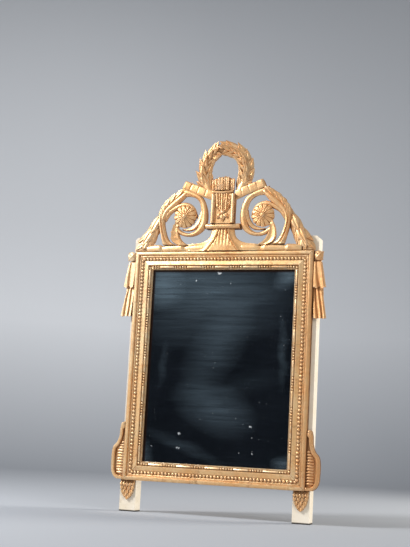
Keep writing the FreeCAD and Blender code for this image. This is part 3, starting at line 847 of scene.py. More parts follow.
def leaf(root, tip, width, crown=2.0, bow=0.0, rib=1.4, edge_drop=2.2, thickness=5, fullness=0.42, tilt=0.0):
    """A carved leaf from root to tip with a sunk midrib and edges that turn down. A bow bends it to its right
    hand as it grows, and a tilt lifts that hand forward, by so much a millimetre."""
    root = Vector(root)
    ahead = Vector(tip) - root
    aside = Vector((ahead.z, 0, -ahead.x)).normalized()
    power = math.log(0.5) / math.log(fullness)
    section = [
        (-1, -edge_drop), (-0.62, -0.2), (-0.26, 0), (0, -rib), (0.26, 0), (0.62, -0.2), (1, -edge_drop),
        (0.7, -edge_drop - thickness), (-0.7, -edge_drop - thickness),
    ]
    rings = []
    for step in range(LEAF_STEPS + 1):
        share = step / LEAF_STEPS
        middle = root + ahead * share + aside * bow * math.sin(math.pi * share)
        middle.y += crown * math.sin(math.pi * share)
        half = max(width / 2 * math.sin(math.pi * min(share, 0.999) ** power), 0.35)
        relief = min(1, 4 * half / width)
        ring = []
        for place, drop in section:
            spot = middle + aside * place * half
            ring.append((spot.x, spot.y + drop * relief + tilt * place * half, spot.z))
        rings.append(ring)
    return skin(rings)


def inset(outline, distance):
    """A closed outline of (x, z) points drawn in by a distance."""
    area = sum(a[0] * b[1] - b[0] * a[1] for a, b in zip(outline, outline[1:] + outline[:1]))
    turn = 1 if area > 0 else -1
    drawn = []
    for number, (x, z) in enumerate(outline):
        before = outline[number - 1]
        after = outline[(number + 1) % len(outline)]
        run = Vector((after[0] - before[0], after[1] - before[1])).normalized()
        drawn.append((x - turn * run.y * distance, z + turn * run.x * distance))
    return drawn


def slab(outline, back, front, round_over, undercut=0):
    """A board cut to an outline of (x, z) points, its front edge rounded over and its back drawn in."""
    rings = []
    for forward, drawn_in in (
        (back, undercut), (front - round_over, 0),
        (front - 0.35 * round_over, 0.3 * round_over), (front, round_over),
    ):
        rings.append([(x, forward, z) for x, z in inset(outline, drawn_in)])
    return skin(rings)


def flipped(shapes):
    """The same shapes on the other side of the middle."""
    return [([(-x, forward, z) for x, forward, z in points], faces) for points, faces in shapes]


def fold_height(place, fold_edges):
    """How far a gathered cloth stands out across its width, in round folds between uneven edges."""
    for low, high in zip(fold_edges, fold_edges[1:]):
        if low <= place <= high:
            return math.sin(math.pi * (place - low) / (high - low)) ** 0.6 * (0.6 + 1.2 * (high - low))
    return 0


def quiver_panel():
    """The sunk panel: a fillet down each side, and the hanging cloth, whose folds end in a rounded hem."""
    half = quiver.right - BORDER_W + 1
    rings = []
    for row in range(PANEL_ROWS + 1):
        height = row / PANEL_ROWS
        z = quiver.foot + quiver.height * height
        cloth_reach = CLOTH_FOOT_W + CLOTH_WIDENS * height
        ring = []
        for column in range(PANEL_COLUMNS + 1):
            across = 2 * column / PANEL_COLUMNS - 1
            place = across / cloth_reach
            fillet = FILLET_OUT * math.exp(-((abs(across) - FILLET_PLACE) / FILLET_W) ** 4)
            out = quiver.front - PANEL_SUNK + fillet
            if abs(place) < 1:
                above_hem = height - HEM_H - HEM_RISE * abs(place) ** 1.5
                bulge = HEM_ROLL * hump(above_hem - HEM_ROLL_W, HEM_ROLL_W)
                folds = CLOTH_DEPTH * (fold_height(place, cloth_edges) - 0.1)
                out += min(max(above_hem / HEM_STEP, 0), 1) * (folds + bulge)
            ring.append((half * across, min(out, quiver.front - 0.5), z))
        ring.append((half, CREST_BACK + LAP, z))
        ring.append((-half, CREST_BACK + LAP, z))
        rings.append(ring)
    return skin(rings)


border_outline = [
    (quiver.right - BORDER_W, quiver.foot), (quiver.right, quiver.foot),
    (quiver.right, quiver.foot + quiver.height / 2), (quiver.right, quiver.top),
    (quiver.right - BORDER_W, quiver.top),
]
border = slab(border_outline, CREST_BACK, quiver.front, BORDER_ROUND, UNDERCUT)
husk_z = quiver.foot + HUSK_H
husk_out = quiver.front - PANEL_SUNK + 1
husk = [
    leaf((0, husk_out, husk_z), (0, husk_out + 1.5, husk_z - 20), width=12, crown=2.4),
    leaf((1, husk_out, husk_z), (13, husk_out + 1, husk_z - 13), width=11, crown=2.4, bow=-1.5),
    leaf((-1, husk_out, husk_z), (-13, husk_out + 1, husk_z - 13), width=11, crown=2.4, bow=1.5),
    pearl((0, husk_out + 1.4, husk_z + 2), across=5.5, out=3, up=4.5),
]
make_piece("carved_quiver", [quiver_panel(), border, *flipped([border]), *husk], "quiver")

# The collar: a bowed moulding round the mouth of the quiver, with a thin fillet under it. It sags a little
# in the middle, and it is glued on and gilded with the rest.
collar = extent("collar")
COLLAR_SAG = 2.6
COLLAR_BOW = 7
COLLAR_ROUND = 0.96
COLLAR_STEPS = 24
MOUTH_LEAN = -3.5
collar_section = [
    (0, 0), (0, -4), (0.14, -2.2), (0.26, -3), (0.4, -0.8), (0.6, 0), (0.8, -0.8),
    (0.95, -2.6), (1, -5), (1, 0),
]
collar_rings = []
for step in range(COLLAR_STEPS + 1):
    across = 2 * step / COLLAR_STEPS - 1
    bowed = collar.front - COLLAR_BOW + COLLAR_BOW * math.sqrt(1 - (across * COLLAR_ROUND) ** 2)
    sag = COLLAR_SAG * (1 - across * across)
    ring = []
    for number, (height, out) in enumerate(collar_section):
        at_back = number in (0, len(collar_section) - 1)
        x = MOUTH_LEAN + across * (collar.right - (UNDERCUT if at_back else 0))
        forward = collar.back if at_back else bowed + out
        ring.append((x, forward, collar.foot + height * collar.height - sag))
    collar_rings.append(ring)
make_piece("carved_collar", [skin(collar_rings)], "collar")

# The arrows: a sheaf of feathered shafts standing in the quiver. They are cut from one block of limewood
# as upright flutes of uneven height, and gilded.
sheaf = extent("arrow_bundle")
SHEAF_BOW = 5
SHEAF_DOME = 3
SHAFTS = 8
SHAFT_BACK_W = 0.86
FEATHER_SLANT = 1.6
arrow_section = [
    (-1, -2.6), (-0.8, -0.6), (-0.42, 0), (-0.12, -0.5), (0, -1.3), (0.12, -0.5),
    (0.42, 0), (0.8, -0.6), (1, -2.6),
]
# Stops up a shaft: share of the height, fullness, and how far it is drawn back.
arrow_stops = [(0, 0.88, 1.5), (0.3, 0.95, 0.5), (0.75, 1.0, 0), (0.93, 1.0, 0.4), (1, 0.8, 2.6)]


def arrow(middle, half, front, top):
    """One feathered shaft: two vanes with a groove between, cut slanting at the top."""
    drawn = (middle - MOUTH_LEAN) * (1 - UNDERCUT / sheaf.right) + MOUTH_LEAN
    rings = []
    for height, swell, pull in arrow_stops:
        z = sheaf.foot + height * (top - sheaf.foot)
        ring = []
        for place, out in arrow_section:
            slant = FEATHER_SLANT * abs(place) if height > 0.9 else 0
            ring.append((middle + place * half * swell, front - pull + out, z - slant))
        ring.append((drawn + SHAFT_BACK_W * half * swell, sheaf.back, z))
        ring.append((drawn - SHAFT_BACK_W * half * swell, sheaf.back, z))
        rings.append(ring)
    return skin(rings)


sheaf_chance = random.Random(5)
sheaf_shapes = []
shaft_edges = [2 * number / SHAFTS - 1 for number in range(SHAFTS + 1)]
for number in range(1, SHAFTS):
    shaft_edges[number] += sheaf_chance.uniform(-0.06, 0.06)
for low, high in zip(shaft_edges, shaft_edges[1:]):
    across = (low + high) / 2
    half = (high - low) / 2
    front = sheaf.front - SHEAF_BOW * across * across - sheaf_chance.uniform(0.2, 2)
    top = sheaf.top - SHEAF_DOME * across * across - sheaf_chance.uniform(0, 4)
    sheaf_shapes.append(arrow(MOUTH_LEAN + across * sheaf.right, half * sheaf.right, front, top))
make_piece("carved_arrows", sheaf_shapes, "arrow_bundle")

# The ribbons: two stiff bands that rise from the shoulders of the quiver, gathered by grooves cut across
# them and ending in a thicker block. They are carved limewood, glued to the quiver and the scrolls.
RIBBON_FACE = 53.1
RIBBON_STEPS = 90
RIBBON_GROOVE = 1.2
RIBBON_GROOVE_W = 0.012
RIBBON_SLANT = 0.05
RIBBON_SWELL = 0.5
RIBBON_BLOCK = 1.2
RIBBON_END = 2.5
ribbon_low_edge = [(27, 119), (104, 150)]
ribbon_high_edge = [(27, 143), (95, 169)]
ribbon_grooves = (0.24, 0.5, 0.76)
ribbon_section = [
    (0, -4), (0.015, -1.4), (0.06, -0.5), (0.2, -0.1), (0.5, 0), (0.8, -0.1),
    (0.94, -0.5), (0.985, -1.4), (1, -4),
]


def along_line(line, share):
    """The place at a share of the way along a line of points."""
    spot = min(max(share, 0), 1) * (len(line) - 1)
    first = min(int(spot), len(line) - 2)
    return [a + (b - a) * (spot - first) for a, b in zip(line[first], line[first + 1])]


def ribbon_shape(lean):
    """The band with its slanting grooves and its block proud at the end, reaching out by a lean."""
    rings = []
    for step in range(RIBBON_STEPS + 1):
        share = step / RIBBON_STEPS
        block = RIBBON_BLOCK * min(max((share - ribbon_grooves[-1]) / 0.02, 0), 1)
        end = RIBBON_END * max(share - 0.95, 0) / 0.05
        shift = lean * min(1, 3 * share)
        across_band = [along_line(ribbon_low_edge, share), along_line(ribbon_high_edge, share)]
        ring = []
        for place, out in ribbon_section:
            slant = share + RIBBON_SLANT * (place - 0.5)
            dip = max(hump(slant - groove, RIBBON_GROOVE_W) for groove in ribbon_grooves)
            swell = RIBBON_SWELL * math.sin(5 * slant + 0.6)
            x, z = along_line(across_band, place)
            ring.append((x + shift, RIBBON_FACE - RIBBON_GROOVE * dip - end + block + swell + out, z))
        for place in (0.82, 0.18):
            x, z = along_line(across_band, place)
            ring.append((x + shift, CREST_BACK + 5 * LAP, z))
        rings.append(ring)
    return skin(rings)


def make_pair(name, node, right, left=None, up=0, side_finish=toned_and_shaded_sides):
    """The same carving on both sides, one piece to each, raised by a height. Where the left one differs, its
    shapes are given too, as they would be on the right."""
    make_piece("carved_right_" + name, moved(right, up=up), "right_" + node, side_finish)
    make_piece("carved_left_" + name, flipped(moved(left or right, up=up)), "left_" + node, side_finish)


make_pair("ribbon", "ribbon", [ribbon_shape(MOUTH_LEAN)], [ribbon_shape(-MOUTH_LEAN)], up=FRAME_TOP)

# The scrolls: flat bands of limewood that curl down from the ends of the ribbons and round the rosettes.
# Each has a broad rounded face with a fillet along its inner edge, and a tapered tongue that runs under
# the rosette.
SCROLL_FRONT = 53
scroll_outside = [
    (108, 153), (80, 143), (57, 130), (46, 114), (40, 92), (40, 70), (47, 51), (63, 38), (83, 33.5),
    (101, 36.5), (114, 44), (121, 53),
]
scroll_inside = [
    (98, 130), (86, 130), (73, 126.5), (63, 117), (58, 100), (57, 80), (60, 62), (69, 48.5), (83, 42),
    (97, 45), (108, 52), (116, 60),
]
scroll_section = [
    (0, -6), (0.04, -3), (0.12, -1.2), (0.2, -0.8), (0.25, -1.5), (0.3, -0.5), (0.46, 0), (0.62, 0),
    (0.78, -0.6), (0.9, -2), (0.96, -3.6), (1, -6),
]
tongue_inside = [(57, 98), (61, 86), (66, 72), (76, 59.5), (90, 53.5), (103, 51.5)]
tongue_outside = [(54, 97), (53, 82), (58, 64), (70, 51), (88, 47), (103, 50)]
tongue_section = [(0, -5), (0.1, -2), (0.4, -0.4), (0.7, 0), (0.92, -2), (1, -5)]
ends_drawn_back = (1.6, 0.4, 0)


def evenly(line, count):
    """As many points at equal distances along a line."""
    lengths = [0]
    for before, after in zip(line, line[1:]):
        lengths.append(lengths[-1] + math.dist(before, after))
    spread = []
    span = 0
    for number in range(count):
        target = lengths[-1] * number / (count - 1)
        while span < len(line) - 2 and lengths[span + 1] < target:
            span += 1
        part = (target - lengths[span]) / max(lengths[span + 1] - lengths[span], 1e-9)
        spread.append(tuple(a + (b - a) * part for a, b in zip(line[span], line[span + 1])))
    return spread


def band(inside, outside, back, front, section, steps=44):
    """A strip of carving between two edges. The section gives places across it and how far it falls back."""
    if len(inside) == len(outside):
        spans = max(2, round(steps / (len(inside) - 1)))
        inner_edge = curve(inside, spans)
        outer_edge = curve(outside, spans)
    else:
        inner_edge = evenly(curve(inside), steps)
        outer_edge = evenly(curve(outside), steps)
    rings = []
    for number, edges_here in enumerate(zip(inner_edge, outer_edge)):
        from_end = min(number, len(inner_edge) - 1 - number)
        pull = ends_drawn_back[min(from_end, 2)]
        ring = []
        for place, out in section:
            x, z = along_line(edges_here, place)
            ring.append((x, front + out - pull, z))
        drawn = min(UNDERCUT / max(math.dist(*edges_here), 1), 0.3)
        for place in (1 - drawn, drawn):
            x, z = along_line(edges_here, place)
            ring.append((x, back, z))
        rings.append(ring)
    return skin(rings)


scroll_shapes = [
    band(scroll_inside, scroll_outside, CREST_BACK + LAP, SCROLL_FRONT, scroll_section),
    band(tongue_inside, tongue_outside, CREST_BACK + 3 * LAP, SCROLL_FRONT - 1, tongue_section, steps=24),
]
make_pair("scroll", "scroll", scroll_shapes, up=FRAME_TOP)

# The rosettes: domed daisies in the eyes of the scrolls, turned and carved from limewood, with one ring of
# spoon-shaped petals round a boss.
rosette = extent("right_rosette")
ROSETTE_H = rosette.foot + rosette.height / 2 - FRAME_TOP
PETALS = 13
PETAL_GROOVE = 3.2
PETAL_POINTS = 10
PETAL_NOTCH = 0.12
DOME_DOWN = 2
DOME_FALL = 4
DOME_RIM = 3
BOSS_R = 5.4
BOSS_OUT = 2.8
ROSETTE_BACK_SHARE = 0.84
rosette_shares = (0.1, 0.17, 0.25, 0.4, 0.55, 0.7, 0.82, 0.92, 0.98, 1, ROSETTE_BACK_SHARE)


def rosette_shape():
    """A shallow dome cut into petals by grooves that run out from the middle. Its last ring is the back."""
    turns = PETALS * PETAL_POINTS
    rings = []
    for number, share in enumerate(rosette_shares):
        ring = []
        for turn in range(turns):
            angle = 2 * math.pi * turn / turns
            middle = abs(math.cos(PETALS * angle / 2 + 0.6))
            reach = rosette.half_w * share * (1 - PETAL_NOTCH * share * (1 - middle) ** 3)
            groove = PETAL_GROOVE * (1 - middle ** 0.45) * min(1, 0.4 + 2 * share)
            spoon = (0.9 * middle ** 3 + 1.1 * max(0, (middle - 0.94) / 0.06)) * math.sin(math.pi * share)
            dome = DOME_DOWN + DOME_FALL * share ** 2 + DOME_RIM * share ** 12
            forward = rosette.front - dome - groove - spoon
            if number == len(rosette_shares) - 1:
                forward = rosette.back
            x = rosette.middle + reach * math.cos(angle)
            ring.append((x, forward, ROSETTE_H + reach * math.sin(angle)))
        rings.append(ring)
    return skin(rings)


rosette_boss = pearl((rosette.middle, rosette.front - 3, ROSETTE_H), BOSS_R, BOSS_OUT, BOSS_R, turns=14)
make_pair("rosette", "rosette", [rosette_shape(), rosette_boss], up=FRAME_TOP)

# The low leaves: one rises from the strip on each side of the middle, bends outward and carries the rosette.
# They are carved limewood. The left one is cut into lobes, and the right one has been left smooth.
LEAF_FRONT = 54
low_leaf_inside = [(84, 13), (98, 22), (106, 33), (111, 46), (112, 60)]
low_leaf_outside = [(106, 12), (122, 19), (129.5, 31), (129, 46), (125, 60), (118, 72)]
low_leaf_section = [
    (0, -5), (0.05, -2), (0.18, -0.3), (0.4, -1.4), (0.55, -1.8), (0.72, -0.8),
    (0.88, 0), (0.96, -1.6), (1, -5),
]
lobe_cut = {"crown": 1.4, "rib": 0.8, "edge_drop": 3.4, "tilt": -0.15}
low_leaf_lobes = [
    leaf((101, 49, 15), (130, 54, 31), 17, bow=-2, fullness=0.6, **lobe_cut),
    leaf((104, 49, 27), (130, 54, 46), 16, bow=-2, fullness=0.6, **lobe_cut),
    leaf((108, 49, 40), (125, 54, 62), 14, bow=-1.5, fullness=0.6, **lobe_cut),
]
smooth_leaf = [
    band(low_leaf_inside, low_leaf_outside, CREST_BACK + 4 * LAP, LEAF_FRONT, low_leaf_section, steps=26),
]
make_pair("low_leaf", "leaf", smooth_leaf, smooth_leaf + low_leaf_lobes, up=FRAME_TOP)

# The stems: two-ridged bands of limewood that spring from the strip, arch over and turn in above the
# rosettes as a hood. Overlapping leaves lie along the arch.
STEM_FRONT = 54
HOOD_FRONT = 51
STEM_LEAFLETS = 5
LEAFLET_W = 14
LEAFLET_REACH = 0.17
LEAFLETS_START = 0.46
LEAFLETS_RUN = 0.45
LEAFLET_SEAT = 50.5
LEAFLET_TIP = 54.5
stem_outside = [
    (150, 15), (153, 25), (156.5, 40), (160.5, 57), (163, 78), (161.5, 94), (155, 109), (144, 123),
    (127, 138), (98, 153),
]
stem_inside = [
    (114, 14), (128, 20), (137, 30), (143, 43), (148, 60), (148, 76), (140, 92), (125, 105), (109, 118),
    (92, 137),
]
stem_section = [
    (0, -6), (0.05, -2.4), (0.16, -0.6), (0.32, 0), (0.46, -1.2), (0.52, -3), (0.6, -2.2), (0.74, 0),
    (0.88, -0.6), (0.95, -2.4), (1, -6),
]
hood_inside = [(147, 70), (134, 89), (116, 99), (100, 103), (86, 100), (76, 90), (71, 78)]
hood_outside = [(150, 86), (137, 101), (119, 112), (101, 117.5), (84, 113), (72, 101), (66.5, 84)]
hood_section = [(0, -6), (0.1, -3), (0.3, -1), (0.55, 0), (0.8, -0.8), (0.94, -2.8), (1, -6)]


def stem_leaflets():
    """Short leaves that lie along the outer ridge where the stem arches over."""
    inner_edge = curve(stem_inside)
    outer_edge = curve(stem_outside)

    def spot(share, across):
        return along_line([along_line(inner_edge, share), along_line(outer_edge, share)], across)

    leaflets = []
    for number in range(STEM_LEAFLETS):
        share = LEAFLETS_START + LEAFLETS_RUN * number / STEM_LEAFLETS
        root_x, root_z = spot(share, 0.5)
        tip_x, tip_z = spot(min(share + LEAFLET_REACH, 0.97), 0.93)
        root = (root_x, LEAFLET_SEAT, root_z)
        leaflets.append(leaf(root, (tip_x, LEAFLET_TIP, tip_z), LEAFLET_W, bow=2, fullness=0.55, **lobe_cut))
    return leaflets


stem_shapes = [
    band(stem_inside, stem_outside, CREST_BACK + 2 * LAP, STEM_FRONT, stem_section, steps=54),
    band(hood_inside, hood_outside, CREST_BACK + 3 * LAP, HOOD_FRONT, hood_section, steps=30),
    *stem_leaflets(),
]
make_pair("stem", "stem", stem_shapes, up=FRAME_TOP)

# The garlands: ropes of long laurel leaves that hang from the stems and end on the corners of the frame.
# The leaves overlap in tiers on a limewood core, and their tips stand clear of the edge.
GARLAND_CORE = 46
GARLAND_SEAT = 45
GARLAND_PROUD = 51
GARLAND_ROUND = 6
GARLAND_POINTS = 40
GARLAND_LOWEST = 3
garland_outside = [(157, 110), (166, 98), (176, 83), (190, 61), (205, 41), (221, 24), (229.5, 11), (229.5, 1)]
garland_inside = [(157, 82), (159, 67), (162, 51), (167, 35), (172, 21), (177, 9), (180, 1)]
garland_core_section = [(0, -4), (0.1, -1.5), (0.3, 0), (0.7, 0), (0.9, -1.5), (1, -4)]
# Leaves: shares of the way down at root and tip, places across at root and tip, and width.
garland_leaves = [
    (0, 0.56, 0.5, 0.14, 17), (0.03, 0.58, 0.6, 0.94, 20), (0.02, 0.54, 0.5, 0.5, 21),
    (0.3, 0.84, 0.5, 0.1, 17), (0.33, 0.84, 0.6, 0.95, 19), (0.34, 0.88, 0.5, 0.5, 21),
    (0.58, 1.02, 0.5, 0.18, 16), (0.6, 1.02, 0.6, 0.95, 18), (0.62, 1.02, 0.5, 0.58, 20),
]


def garland_shapes(chance):
    """The core and its three tiers: a leaf out, a leaf in and a leaf on the middle of each."""
    outer_edge = evenly(curve(garland_outside), GARLAND_POINTS)
    inner_edge = evenly(curve(garland_inside), GARLAND_POINTS)
    core_in = [along_line(pair, 0.86) for pair in zip(outer_edge, inner_edge)]
    core_out = [along_line(pair, 0.16) for pair in zip(outer_edge, inner_edge)]
    shapes = [band(core_in, core_out, CREST_BACK + 3 * LAP, GARLAND_CORE, garland_core_section, steps=30)]

    def spot(share, across, forward):
        """A place on the garland: 0 across is its outer edge and 1 its inner edge."""
        x, z = along_line([along_line(outer_edge, share), along_line(inner_edge, share)], across)
        return x, forward, max(z, GARLAND_LOWEST)

    for start, reach, root_across, tip_across, width in garland_leaves:
        reach += chance.uniform(-0.015, 0.015)
        outward = 1 - 2 * tip_across
        shapes.append(leaf(
            spot(start, root_across, GARLAND_SEAT),
            spot(reach, tip_across, GARLAND_PROUD - GARLAND_ROUND * abs(outward)), width,
            crown=2.4, bow=3 * outward, rib=1.1, edge_drop=3, thickness=7, fullness=0.5, tilt=0.5 * outward,
        ))
    return shapes


make_pair("garland", "garland", garland_shapes(random.Random(23)), up=FRAME_TOP)

# The wreath: a hoop of laurel that stands on the ribbons behind the arrows. Its long pointed leaves climb
# both sides in tiers and meet at the top. It is carved limewood on a core, glued at its two legs.
wreath = extent("wreath")
WREATH_MID = wreath.top - wreath.half_w
WREATH_HALF_W = 17.8
WREATH_TIER = 21
WREATH_LEAF = 45
WREATH_LEAN = -2
WREATH_SEAT = 46
LEG_SEAT = 41
OUTER_TIP = 53
INNER_TIP = 56
HOOP_POINTS = 60
CORE_STEPS = 24
ARCH_TURN = math.pi / 12
wreath_legs = [(37, -57), (42, -43), (49, -28), (53, -14)]


def wreath_side(chance, back, arch_turns):
    """One half of the hoop, a leg that bends into a round arch: its core and three leaves to a tier."""
    arch_r = wreath.half_w - WREATH_HALF_W
    angles = [turn * ARCH_TURN for turn in range(arch_turns)]
    arch = [(arch_r * math.cos(angle), arch_r * math.sin(angle)) for angle in angles]
    line = evenly(curve(wreath_legs + arch), HOOP_POINTS)
    length = (HOOP_POINTS - 1) * math.dist(line[0], line[1])

    def spot(share, across, forward):
        """A place on the hoop: across is 1 at its outer edge and -1 at its inner edge."""
        x, z = along_line(line, share)
        ahead = Vector(along_line(line, share + 0.02)) - Vector(along_line(line, share - 0.02))
        ahead.normalize()
        half = WREATH_HALF_W * min(1, 0.72 + share)
        return x + ahead.y * across * half, forward, WREATH_MID + z - ahead.x * across * half

    core_section = [(-0.5, back), (-0.8, 48), (-0.4, 52), (0, 53.5), (0.4, 52), (0.66, 48), (0.4, back)]
    shares = [step / CORE_STEPS for step in range(CORE_STEPS + 1)]
    shapes = [skin([[spot(share, *place) for place in core_section] for share in shares])]
    for tier in range(round(length / WREATH_TIER)):
        start = (tier - 0.3) * WREATH_TIER / length
        reach = start + (WREATH_LEAF + chance.uniform(-2, 2)) / length
        lean = chance.uniform(-0.8, 0.8)
        if start > 1 - 0.55 * WREATH_LEAF / length:
            break
        seat = LEG_SEAT if tier == 0 else WREATH_SEAT
        flung = 1.12 if reach < 0.62 else 0.97
        shapes.append(leaf(
            spot(start, 0.1, seat), spot(min(reach, 1), flung, OUTER_TIP), width=20,
            crown=2.5, bow=lean, edge_drop=3.6, fullness=0.44, tilt=-0.3,
        ))
        shapes.append(leaf(
            spot(start + 0.03, -0.1, seat), spot(min(reach + 0.02, 1), -0.95, INNER_TIP), width=18,
            crown=2.5, bow=lean, edge_drop=3.6, thickness=6, fullness=0.46, tilt=0.3,
        ))
        shapes.append(leaf(
            spot(start + 0.08, 0.05, seat + 4), spot(min(reach + 0.1, 1), 0.1, wreath.front - 2), width=15,
            crown=1, bow=1.5, rib=1.2, edge_drop=3.4,
        ))
    return shapes


wreath_chance = random.Random(31)
wreath_shapes = wreath_side(wreath_chance, wreath.back, 8)
wreath_shapes += flipped(wreath_side(wreath_chance, wreath.back + LAP, 6))
make_piece("carved_wreath", moved(wreath_shapes, across=WREATH_LEAN), "wreath")

# The tassels: knotted falls of cloth, carved in limewood and pinned against the sides of the frame. They
# hang in two tiers of pleats that are hollow at the hems, and are gilded on their edges too.
tassel = extent("right_tassel")
TASSEL_IN = FRAME_SIDE + 0.4
KNOT_H = 24
KNOT_IN = 11.5
KNOT_REACH = 9.5
TIER_ONE_H = 64
BACKING_TOP_W = 21
BACKING_KNOT_W = 16
BACKING_TIER_W = 23
BACKING_FOOT_W = 26
BACKING_FOOT = 8
TIER_ROWS = 12
TIER_COLUMNS = 48
PLEAT_DEPTH = 5
PLEAT_CREST = 0.84
PLEAT_STRAY = 0.07
HEM_SCALLOP = 3.5
HEM_WAVE = 2.5
HEM_BACK = 4.5
HEM_HOLLOW = 6
HEM_THICK = 2.4
first_pleats = (-0.1, 0.4, 1.05)
second_pleats = (-0.15, 0.28, 0.62, 1.1)
knot_strand = [1.6, 2.2, 2.6, 2.8, 2.8, 2.8, 2.6, 2.2, 1.6]


def pleat(place, pleat_edges):
    """How far a pleated cloth stands out across its width: each pleat swells slowly and drops sharply."""
    for low, high in zip(pleat_edges, pleat_edges[1:]):
        part = (place - low) / (high - low)
        if 0 <= part < PLEAT_CREST:
            return math.sin(math.pi / 2 * part / PLEAT_CREST) ** 0.7
        if PLEAT_CREST <= part <= 1:
            return ((1 - part) / (1 - PLEAT_CREST)) ** 1.2
    return 0


def cloth_tier(top, foot, lean, back, hand, pleat_edges):
    """A tier of the fall, from top to foot, each (z, width, front): pleats that widen to a slanting hem,
    hollow underneath. Its inner edge leans away from the frame, and the pleats all lap to the same hand."""
    (top_z, top_w, top_front), (foot_z, foot_w, foot_front) = top, foot
    rings = []
    for step in range(TIER_ROWS + 3):
        share = min(step / TIER_ROWS, 1)
        inside = max(step - TIER_ROWS, 0)
        level = top_z + (foot_z - top_z) * share
        width = top_w + (foot_w - lean - top_w) * share
        hollow = HEM_THICK * min(inside, 1)
        lift = HEM_HOLLOW if inside == 2 else 0
        ring = []
        for column in range(TIER_COLUMNS + 1):
            place = column / TIER_COLUMNS
            from_left = place if hand > 0 else 1 - place
            swell = pleat(from_left + PLEAT_STRAY * math.sin(2.5 * share + 4 * from_left), pleat_edges)
            hem = (HEM_SCALLOP * (1 - swell) + HEM_WAVE * math.sin(7 * from_left + 1) ** 2) * share
            depth = PLEAT_DEPTH * (0.55 + 0.45 * share) * (1 - swell)
            front = top_front + (foot_front - top_front) * share - 2 * max(place - 0.93, 0) / 0.07
            forward = max(front - depth - hollow, back + 1)
            ring.append((TASSEL_IN + lean * share + place * width, forward, level + hem + lift))
        ring.append((ring[-1][0], back, level + HEM_BACK * share))
        ring.append((ring[0][0], back, level + HEM_BACK * share))
        rings.append(ring)
    return skin(rings)


def tassel_shapes(hand):
    """The backing, the two tiers, and the knot with its two crossed strands."""
    knot_z = tassel.top - KNOT_H
    tier_z = knot_z - TIER_ONE_H
    front = tassel.front
    full_w = tassel.right - TASSEL_IN - 0.3
    backing = [
        (FRAME_SIDE, tassel.top - 2), (FRAME_SIDE + BACKING_TOP_W, tassel.top - 2),
        (FRAME_SIDE + BACKING_KNOT_W, knot_z), (FRAME_SIDE + BACKING_TIER_W, tier_z),
        (FRAME_SIDE + BACKING_FOOT_W, tassel.foot + BACKING_FOOT), (FRAME_SIDE, tassel.foot + BACKING_FOOT),
    ]
    first_tier = ((knot_z - 2.5, 18, front - 2), (tier_z, full_w - 3, front - 0.2))
    second_tier = ((tier_z + 8, 19, front - 7), (tassel.foot, full_w, front - 1))
    middle_x = FRAME_SIDE + KNOT_IN
    middle_z = tassel.top - KNOT_H / 2
    shapes = [
        slab(backing, FRAME_BACK, front - 9, 1.5),
        cloth_tier(*first_tier, 1, FRAME_BACK + LAP, hand, first_pleats),
        cloth_tier(*second_tier, 5, FRAME_BACK + 2 * LAP, hand, second_pleats),
        pearl((middle_x, front - 6, middle_z), across=11, out=4.5, up=12, turns=14),
    ]
    for slope in (1, -1):
        path = []
        for step in range(len(knot_strand)):
            place = step / 4 - 1
            out = front - 3 - 4.5 * place * place
            path.append((middle_x + KNOT_REACH * place, out, middle_z + slope * KNOT_REACH * place))
        shapes.append(tube(path, knot_strand))
    return shapes


make_pair("tassel", "tassel", tassel_shapes(1), tassel_shapes(-1), side_finish=gilding)

# The consoles: scrolled brackets pinned beside the lower corners, carved in limewood with a broad raised rim
# round a panel of level reeds.
console = extent("right_console")
CONSOLE_H = 133.5
CONSOLE_BED = console.front - 7
RIM_W = 8.5
REED_FOOT = 13
REED_TOP = 89
REED_REACH = 236
REEDS = 12
REED_BEND = 66
REED_SHORTENS = 0.42
FOOT_RIM_H = 9
EYE_IN = 6.3
EYE_H = 124
EDGE_POINTS = 40
console_side = [
    (219.5, CONSOLE_H), (227, 132.5), (231, 120), (232, 103), (237, 87), (246, 76), (249, 62), (249.3, 40),
    (247.5, 18), (240, 5), (230, 1),
]
rim_section = [(0, -5), (0.06, -1.8), (0.2, -0.3), (0.5, 0), (0.8, -0.6), (0.94, -2.6), (1, -6)]


def console_shapes():
    """The bracket's board, the rim along its edge and foot, its reeds, and the eye at its top."""
    edge_line = evenly(curve(console_side), EDGE_POINTS)
    rim_in = []
    for number, (x, z) in enumerate(edge_line):
        before = edge_line[max(number - 1, 0)]
        after = edge_line[min(number + 1, EDGE_POINTS - 1)]
        run = Vector((after[0] - before[0], after[1] - before[1])).normalized()
        rim_in.append((max(x + run.y * RIM_W, FRAME_SIDE + 1), z - run.x * RIM_W))
    foot_in = [(FRAME_SIDE + 0.2, FOOT_RIM_H), (REED_REACH, FOOT_RIM_H)]
    foot_out = [(FRAME_SIDE + 0.2, 0.3), (REED_REACH, 1.5)]
    shapes = [
        slab([(FRAME_SIDE, 0), (FRAME_SIDE, CONSOLE_H), *edge_line], FRAME_BACK, CONSOLE_BED, 1.0),
        band(rim_in, edge_line, FRAME_BACK + LAP, console.front, rim_section, steps=40),
        band(foot_in, foot_out, FRAME_BACK + 2 * LAP, console.front, rim_section, steps=8),
    ]
    pitch = (REED_TOP - REED_FOOT) / REEDS
    for number in range(REEDS):
        z = REED_FOOT + (number + 0.5) * pitch
        reach = REED_REACH - REED_SHORTENS * max(z - REED_BEND, 0)
        path = [
            (FRAME_SIDE + 0.6, CONSOLE_BED - 0.5, z), (FRAME_SIDE + 2, CONSOLE_BED - 0.5, z),
            (reach - 2, CONSOLE_BED - 0.5, z), (reach, CONSOLE_BED - 1, z),
        ]
        shapes.append(tube(path, [pitch * 0.4, pitch * 0.52, pitch * 0.52, pitch * 0.4], turns=14))
    shapes.append(pearl((FRAME_SIDE + EYE_IN, console.front - 3, EYE_H), across=5.8, out=2.8, up=8))
    return shapes


make_pair("console", "console", console_shapes(), up=console.foot)

